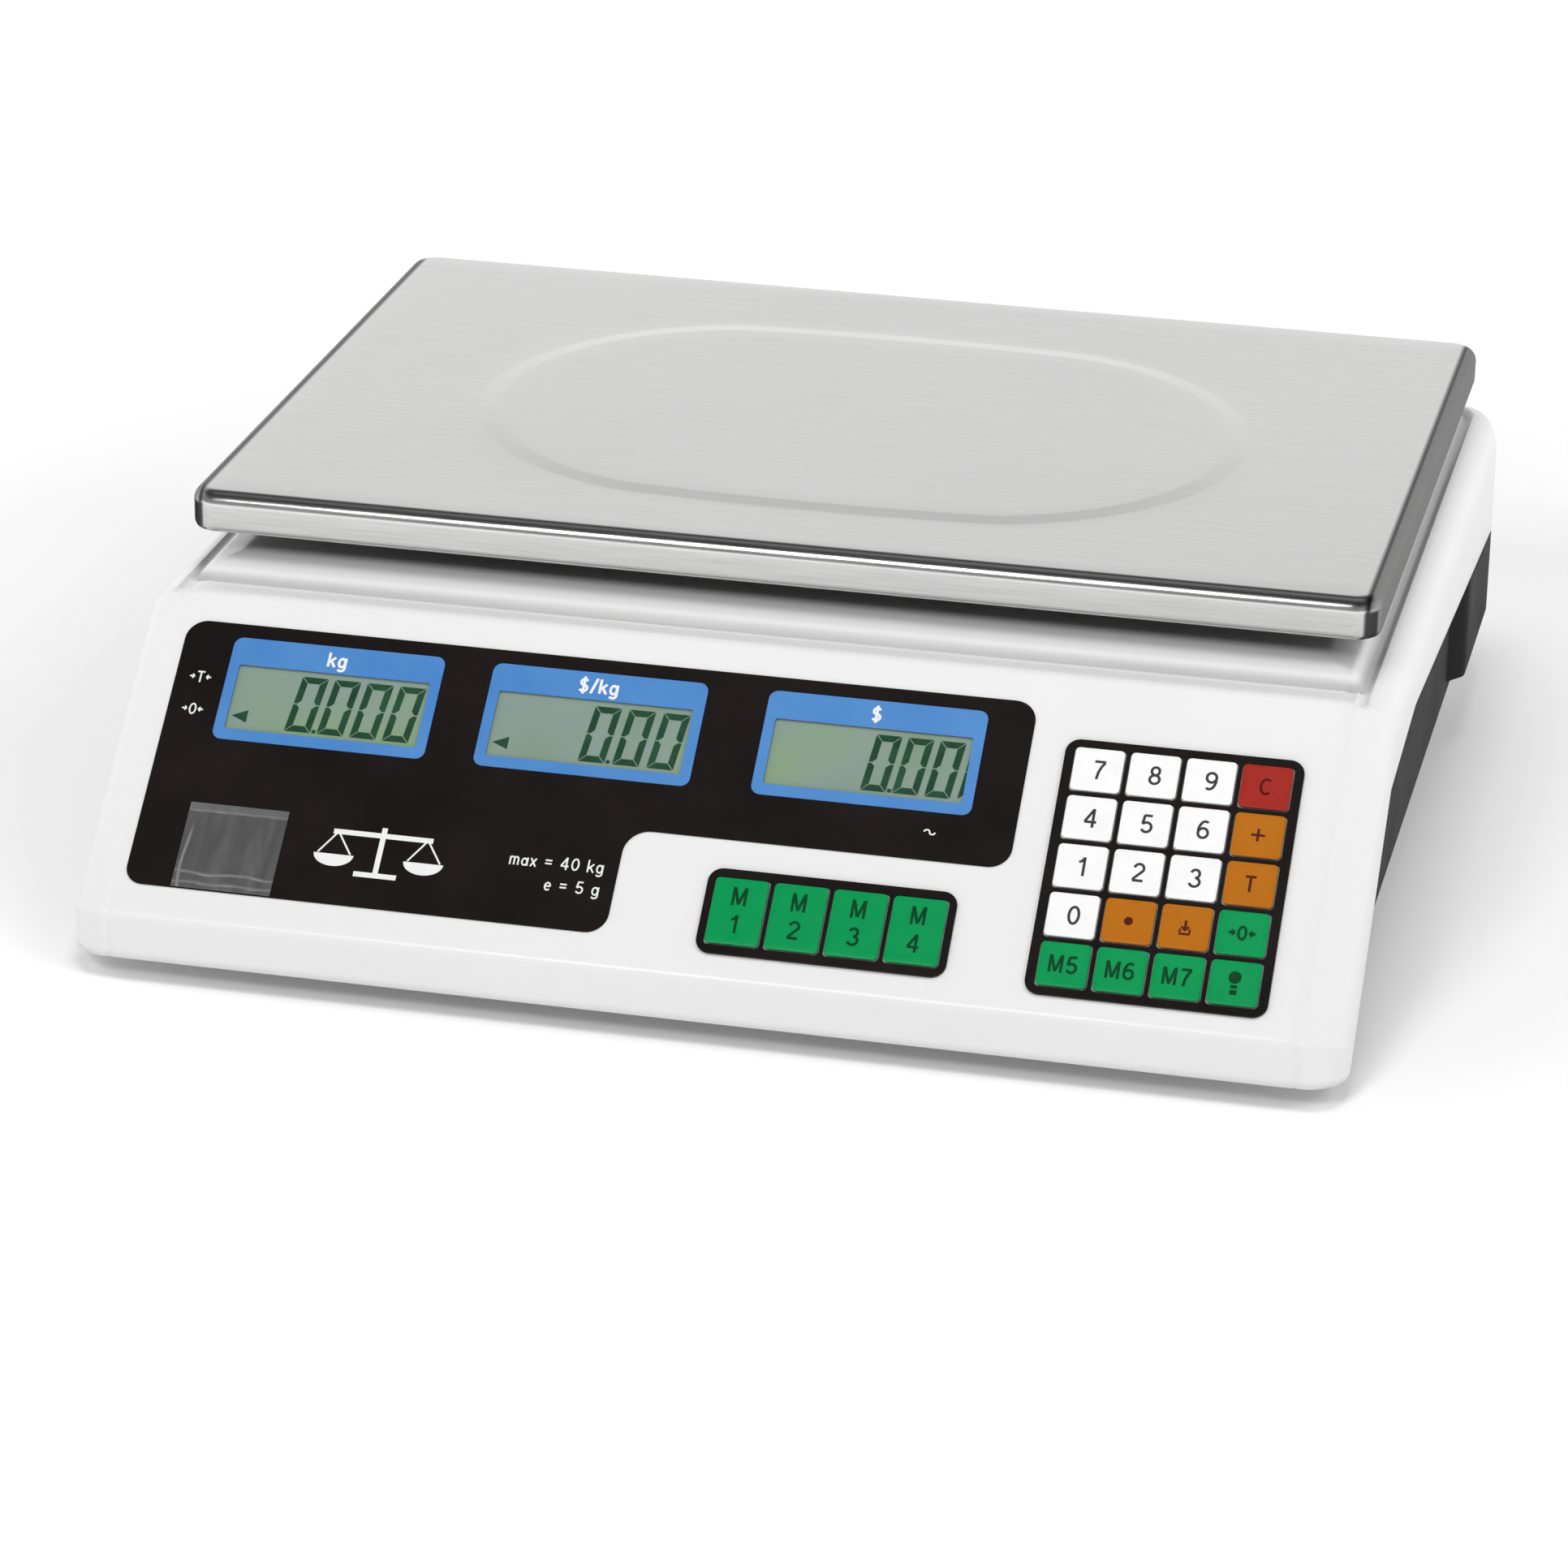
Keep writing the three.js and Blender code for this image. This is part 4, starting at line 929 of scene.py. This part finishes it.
KEY_W, KEY_H, KEY_R = 13.4, 12.7, 1.2
KEYPAD_U, KEYPAD_V, PITCH_U, PITCH_V = 121.2, 43.4, 15.1, 14.4
MEMORY_U, MEMORY_V, MEMORY_W, MEMORY_H, MEMORY_PITCH = 33.8, 19.7, 14.6, 19.4, 16.2
KEY_ROWS = ["7 8 9 clear", "4 5 6 add", "1 2 3 tare", "0 point save zero", "m5 m6 m7 light"]
keys = {}
for row, names in enumerate(KEY_ROWS):
    for column, name in enumerate(names.split()):
        keys[name] = (KEYPAD_U + (column - 1.5) * PITCH_U, KEYPAD_V - (row - 2) * PITCH_V, KEY_W, KEY_H)
for column in range(4):
    keys[f"m{column + 1}"] = (MEMORY_U + (column - 1.5) * MEMORY_PITCH, MEMORY_V, MEMORY_W, MEMORY_H)


def holes(names):
    """Cut-outs in the film for the named keys."""
    places = [keys[name] for name in names.split()]
    return [rectangle(u, v, w + 0.6, h + 0.6, KEY_R, 4) for u, v, w, h in places]


keypad = film("keypad_film", [rectangle(KEYPAD_U, KEYPAD_V, 64.4, 75.4, 4), *holes(" ".join(KEY_ROWS))],
              0.02, 0.9, black_film)
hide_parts("keypad_frame")
memory = film("memory_film", [rectangle(MEMORY_U, MEMORY_V, 67.8, 25, 4), *holes("m1 m2 m3 m4")],
              0.02, 0.9, black_film)
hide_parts("memory_key_frame")


def cap_finish(name, colour):
    """Printed polyester with a slight sheen and a faint mottle."""
    paler = tuple(c * 1.05 + 0.001 for c in colour)
    return finish_of(name, colour, (paler, 0.006), (0.26, 0.34), (0.0009, 0.000004),
                     **{"Specular IOR Level": 0.2})


CAP_COLOURS = {
    "key_white": ((0.84, 0.84, 0.84), "7 8 9 4 5 6 1 2 3 0"),
    "key_red": ((0.325, 0.019, 0.013), "clear"),
    "key_orange": ((0.43, 0.134, 0.004), "add tare point save"),
    "key_green": ((0.001, 0.27, 0.075), "zero light m1 m2 m3 m4 m5 m6 m7"),
}
cap_looks = {}
for kind, (colour, names) in CAP_COLOURS.items():
    cap_looks.update(dict.fromkeys(names.split(), (cap_finish(kind, colour), kind)))
CAP_TOP = 1.5


def cap_points(u, v, w, h):
    """Embossed cap over the face: loops of a round rectangle that climb its wall, turn over a
    0.3 mm edge and shrink to the middle, which stands 0.04 mm proud of the edge."""
    rows = []
    for inset, n in [(0.0, 0.9), (0.0, 1.2), (0.05, 1.33), (0.16, 1.42), (0.32, 1.46)]:
        rows.append(at_height(rectangle(0, 0, w - 2 * inset, h - 2 * inset, max(KEY_R - inset, 0.4), 6), n))
    rim = rows[-1][:, :2]
    for t in (0.8, 0.5, 0.2, 0.0):
        rows.append(at_height(rim * t, CAP_TOP - 0.04 * t ** 2))
    return moved((np.stack([rows[0] * (0, 0, 1), *rows]) + (u, v, 0)) * MM, FACE)


for name, place in keys.items():
    material, kind = cap_looks[name]
    cap = lofted(f"cap_{name}", cap_points(*place), material)
    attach(cap, f"key_{name}_cap")
    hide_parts(f"key_{name}")

# ---- Figures and marks in ink
# Screen-printed figures on the caps and plain marks on the overlay, a few hundredths of a
# millimetre thick. They hold numbers, units and simple signs only.


def ink_of(name, colour, other):
    """Screen ink with a soft sheen."""
    return finish_of(name, colour, (other, 0.004), (0.26, 0.34), (0.0006, 0.000003),
                     **{"Specular IOR Level": 0.15})


grey_ink = ink_of("grey_ink", (0.040, 0.041, 0.046), (0.05, 0.05, 0.056))
red_ink = ink_of("dark_red_ink", (0.07, 0.006, 0.005), (0.09, 0.008, 0.006))
brown_ink = ink_of("brown_ink", (0.07, 0.012, 0.006), (0.09, 0.016, 0.008))
green_ink = ink_of("dark_green_ink", (0.003, 0.045, 0.016), (0.004, 0.06, 0.02))


def arc_of(x, y, across, up, start, stop, count=15):
    """Points along an ellipse about (x, y) from start to stop degrees."""
    t = np.radians(np.linspace(start, stop, count))
    return np.stack([x + across * np.cos(t), y + up * np.sin(t)], -1)


def joined(*parts):
    """One path through points and arcs."""
    return np.concatenate([np.atleast_2d(np.array(part, float)) for part in parts])


def bar(*places):
    """One path of straight runs through x, y, x, y and so on."""
    return np.array(places, float).reshape(-1, 2)


# Each figure's strokes, one unit high from the foot of the figure.
SIX = [arc_of(0.31, 0.315, 0.235, 0.25, 0, 360, 25), arc_of(0.37, 0.40, 0.295, 0.53, 178, 62)]
GLYPHS = {
    "0": [arc_of(0.31, 0.5, 0.235, 0.435, 0, 360, 31)],
    "1": [bar(0.38, 0, 0.38, 0.99), bar(0.12, 0.72, 0.26, 0.78, 0.36, 0.93)],
    "2": [joined(arc_of(0.31, 0.70, 0.225, 0.235, 172, -30), (0.27, 0.34), (0.12, 0.18), (0.075, 0.065)),
          bar(0.05, 0.065, 0.56, 0.065)],
    "3": [arc_of(0.29, 0.725, 0.20, 0.215, 165, -88), arc_of(0.29, 0.29, 0.245, 0.23, 88, -165)],
    "4": [bar(0.43, 0.97, 0.04, 0.30), bar(0.02, 0.29, 0.60, 0.29), bar(0.43, 0, 0.43, 0.99)],
    "5": [bar(0.53, 0.93, 0.16, 0.93), bar(0.17, 0.95, 0.10, 0.48),
          arc_of(0.30, 0.315, 0.24, 0.255, 145, -155)],
    "6": SIX,
    "7": [bar(0.05, 0.93, 0.58, 0.93), bar(0.55, 0.90, 0.40, 0.66, 0.29, 0.38, 0.23, 0)],
    "8": [arc_of(0.31, 0.725, 0.19, 0.21, 0, 360, 25), arc_of(0.31, 0.285, 0.235, 0.225, 0, 360, 25)],
    "9": [(0.62, 1.0) - path for path in SIX],
    "M": [bar(0.07, 0, 0.07, 1), bar(0.10, 0.97, 0.37, 0.06), bar(0.64, 0.97, 0.37, 0.06),
          bar(0.67, 0, 0.67, 1)],
    "C": [arc_of(0.37, 0.5, 0.29, 0.435, 48, 312, 25)],
    "T": [bar(0.02, 0.93, 0.62, 0.93), bar(0.32, 0, 0.32, 0.93)],
    "+": [bar(0.02, 0.5, 0.60, 0.5), bar(0.31, 0.21, 0.31, 0.79)],
    "k": [bar(0.06, 0, 0.06, 1), bar(0.47, 0.68, 0.09, 0.30), bar(0.21, 0.42, 0.49, 0)],
    "g": [arc_of(0.27, 0.34, 0.20, 0.29, 0, 360, 25),
          joined((0.49, 0.68), (0.49, 0.0), arc_of(0.27, -0.03, 0.22, 0.20, 0, -150))],
    "$": [arc_of(0.30, 0.71, 0.21, 0.20, 25, 262), arc_of(0.30, 0.29, 0.23, 0.21, 82, -158),
          bar(0.30, -0.1, 0.30, 1.1)],
    "/": [bar(0.02, -0.03, 0.34, 1.03)],
    "~": [joined(arc_of(0.17, 0.5, 0.15, 0.13, 180, 0, 9), arc_of(0.47, 0.5, 0.15, 0.13, 180, 360, 9))],
    ">": [bar(0.0, 0.5, 0.38, 0.5), bar(0.22, 0.68, 0.38, 0.5, 0.22, 0.32)],
    "<": [bar(0.38, 0.5, 0.0, 0.5), bar(0.16, 0.68, 0.0, 0.5, 0.16, 0.32)],
    "v": [bar(0.31, 0.95, 0.31, 0.32), bar(0.08, 0.53, 0.31, 0.29, 0.54, 0.53),
          bar(0.02, 0.36, 0.02, 0.04, 0.60, 0.04, 0.60, 0.36)],
    "=": [bar(0.05, 0.62, 0.55, 0.62), bar(0.05, 0.36, 0.55, 0.36)],
    "e": [joined((0.07, 0.36), (0.46, 0.36), arc_of(0.27, 0.34, 0.20, 0.29, 5, 318, 21))],
    "m": [bar(0.06, 0, 0.06, 0.66), joined(arc_of(0.21, 0.46, 0.15, 0.18, 180, 0, 9), (0.36, 0)),
          joined(arc_of(0.51, 0.46, 0.15, 0.18, 180, 0, 9), (0.66, 0))],
    "a": [arc_of(0.25, 0.31, 0.19, 0.27, 0, 360, 21), bar(0.46, 0.66, 0.46, 0)],
    "x": [bar(0.03, 0, 0.43, 0.66), bar(0.43, 0, 0.03, 0.66)],
    " ": [],
}
WIDTHS = {"M": 0.74, "C": 0.68, "T": 0.64, "k": 0.50, "g": 0.55, "/": 0.36, ">": 0.40, "<": 0.40, "e": 0.52,
          "m": 0.72, "a": 0.52, "x": 0.46, " ": 0.28}


def inked(name, paths, wide, low, material, body="case", plane=FACE):
    """Printed strokes on a plane, the sloping face if none is given. Each path of (u, v)
    millimetres is a closed band as wide as wide: four corner points carried along the path
    square to it, drawn together at both ends. Each stroke lies a little over the one before, so
    that crossings never share a plane."""
    points, faces, count = [], [], 0
    for index, path in enumerate(paths):
        ahead = np.gradient(path, axis=0)
        ahead /= np.maximum(np.linalg.norm(ahead, axis=1), 1e-9)[:, None]
        side = np.stack([-ahead[:, 1], ahead[:, 0]], -1) * wide / 2
        top = low + 0.055 + 0.004 * index
        rows = np.stack([np.column_stack([path + side * sign, np.full(len(path), n)])
                         for sign, n in ((1, low), (1, top), (-1, top), (-1, low))], 1)
        ends = [np.repeat(rows[end].mean(0)[None], 4, axis=0) for end in (0, -1)]
        rows = np.concatenate([ends[0][None], rows, ends[1][None]])
        points.append(rows.reshape(-1, 3))
        faces += grid_faces(len(rows), 4, wrap=True, start=count)
        count += len(points[-1])
    mark = mesh_piece(name, moved(np.concatenate(points) * MM, plane), faces, material)
    outward_faces(mark.data)
    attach(mark, body)


def lettered(name, text, u, v, size, weight, low, material, body="case", align=0.5):
    """Figures set on the face from their strokes: size is their height and weight the width of a
    stroke in millimetres, and align the share of their length to the left of u."""
    starts = np.cumsum([0] + [WIDTHS.get(letter, 0.62) + 0.16 for letter in text])
    origin = (u - (starts[-1] - 0.16) * size * align, v)
    paths = []
    for letter, start in zip(text, starts):
        paths += [(path + (start, -0.5)) * size + origin for path in GLYPHS[letter]]
    inked(name, paths, weight, low, material, body)


INK_LOW, INK_TOP = CAP_TOP - 0.04, CAP_TOP + 0.02
ON_FILM, ON_BLUE = 0.33, 0.58
for name, (u, v, w, h) in keys.items():
    body = f"key_{name}_cap"
    if name.isdigit():
        lettered(f"figure_{name}", name, u + 0.5, v, 5.6, 0.76, INK_LOW, grey_ink, body)
    elif name in ("m5", "m6", "m7"):
        lettered(f"figure_{name}", "M" + name[1], u, v, 5.1, 0.76, INK_LOW, green_ink, body)
    elif name[0] == "m":
        lettered(f"figure_{name}_top", "M", u, v + 4.4, 5.4, 0.78, INK_LOW, green_ink, body)
        lettered(f"figure_{name}_low", name[1], u, v - 3.7, 5.4, 0.78, INK_LOW, green_ink, body)
for name, sign, size, ink in (
    ("clear", "C", 5.0, red_ink), ("add", "+", 6.4, brown_ink), ("tare", "T", 4.8, brown_ink),
    ("save", "v", 4.4, brown_ink), ("zero", ">0<", 4.2, green_ink),
):
    u, v, w, h = keys[name]
    lettered(f"figure_{name}", sign, u, v, size, 0.72, INK_LOW, ink, f"key_{name}_cap")
u, v, w, h = keys["point"]
film("figure_point", [rectangle(u, v, 2.4, 2.4, 1.19, 6)], INK_LOW, INK_TOP, brown_ink, body="key_point_cap")
u, v, w, h = keys["light"]
lamp = [rectangle(u, v + 1.5, 3.4, 3.6, 1.65, 8), rectangle(u, v - 1.2, 1.9, 1.0, 0.2, 2),
        rectangle(u, v - 2.8, 1.9, 1.4, 0.2, 2)]
film("figure_light", lamp, INK_LOW, INK_TOP, green_ink, body="key_light_cap")
captions = zip(("mark_kg", "mark_per_kg", "mark_total"), ("kg", "$/kg", "$"), LCD_CENTRES.values())
for name, text, u in captions:
    lettered(name, text, u, 82.6, 4.4, 0.75, ON_BLUE, white_ink)
for name, text, u, v, size, weight, align in (
    ("mark_tare", ">T<", -152.8, 73.6, 3.5, 0.45, 0.5), ("mark_zero", ">0<", -152.8, 63.6, 3.5, 0.45, 0.5),
    ("mark_mains", "~", 56.6, 49.3, 5.0, 0.45, 0.5),
    ("mark_limit", "max = 40 kg", -29.0, 28.8, 3.7, 0.46, 1.0),
    ("mark_step", "e = 5 g", -29.0, 22.2, 3.7, 0.46, 1.0),
):
    lettered(name, text, u, v, size, weight, ON_FILM, white_ink, align=align)

# A plain picture of a beam balance fills the overlay's lower middle.
MIDDLE, BEAM_V, PAN_V, ARM = -91.0, 31.2, 24.4, 12.6
hangers = []
for arm in (MIDDLE - ARM, MIDDLE + ARM):
    hangers += [bar(arm, BEAM_V, arm + side, PAN_V + 0.2) for side in (-4.6, 4.6)]
inked("mark_balance_strings", hangers, 0.5, ON_FILM, white_ink)
inked("mark_balance_beam", [bar(MIDDLE - 14, BEAM_V, MIDDLE + 14, BEAM_V), bar(MIDDLE, 19.4, MIDDLE, 33.6),
                            bar(MIDDLE - 6, 19.2, MIDDLE + 6, 19.2)], 1.5, 0.36, white_ink)
dish = arc_of(0, PAN_V, 5.6, 3.6, 180, 360, 17)
film("mark_balance_pans", [dish + (MIDDLE - ARM, 0), dish + (MIDDLE + ARM, 0)], ON_FILM, 0.38, white_ink)

# ---- Back panel
# A recessed mains inlet with three plated pins, and a snap-action rocker in a bezel, both pushed
# into the tray's back wall.

matt_black = finish_of("inlet_black", (0.018, 0.018, 0.019), ((0.025, 0.025, 0.026), 0.008), (0.35, 0.5),
                       (0.0008, 0.00002))
gloss_black = finish_of("rocker_black", (0.012, 0.012, 0.012), ((0.018, 0.018, 0.018), 0.01), (0.18, 0.26),
                        (0.003, 0.000004))
dress(matt_black, "mains_inlet", "switch_bezel")
dress(gloss_black, "power_rocker")
blade = rectangle(0, 0, 2.1, 4.1, 0.3, 3)
for which, px, pz in (("left", -7, -2), ("right", 7, -2), ("middle", 0, 2)):
    rows = []
    for y, size in ((147.7, 0), (147.7, 1), (160.6, 1), (161.6, 0.8), (162.1, 0.45), (162.1, 0)):
        ring = (blade * size + (px, pz)) * MM + (INLET_X, BACK_Z)
        rows.append(np.insert(ring, 1, y * MM, axis=1)[::-1])
    pin = lofted(f"inlet_pin_{which}", rows, zinc)
    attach(pin, "case")
# The rocker is two faces of a shallow V, each 8 degrees off its middle plane, and rests 8
# degrees to its off side. A bar and a ring mark its on and off halves.
V_ANGLE, HALF_ROCKER = math.atan2(1.1, 7.9), 4.6
AXES = Matrix(((-1, 0, 0, 0), (0, 0, 1, 0), (0, 1, 0, 0), (0, 0, 0, 1)))
rocker_at = Matrix.Translation((SWITCH_X, 158.4 * MM, BACK_Z)) @ Matrix.Rotation(math.radians(-8), 4, "Z")
for which, half, path in (("on", -1, bar(0, -1.7, 0, 1.7)), ("off", 1, arc_of(0, 0, 1.3, 1.7, 0, 360, 33))):
    middle = Vector((half * HALF_ROCKER, 4.1 + HALF_ROCKER * math.tan(V_ANGLE), 0)) * MM
    plane = rocker_at @ Matrix.Translation(middle) @ Matrix.Rotation(half * V_ANGLE, 4, "Z") @ AXES
    inked(f"mark_{which}", [path], 0.5, 0.0, white_ink, body="rocker", plane=plane)

# ---- Inside
# Solder-masked boards, the battery and the transformer stand on the tray floor out of sight.

board_green = finish_of("board_green", (0.010, 0.10, 0.030), ((0.018, 0.15, 0.045), 0.004), (0.3, 0.45),
                        (0.0011, 0.00003))
case_grey = finish_of("battery_grey", (0.07, 0.08, 0.09), ((0.09, 0.10, 0.11), 0.02), (0.45, 0.55),
                      (0.0008, 0.00003))
iron = finish_of("core_iron", (0.13, 0.12, 0.11), ((0.20, 0.19, 0.18), 0.004), (0.4, 0.6),
                 (0.0006, 0.0001), Metallic=0.6)
dress(board_green, "main_board", "display_board", "key_circuit")
dress(case_grey, "battery")
dress(iron, "mains_transformer")
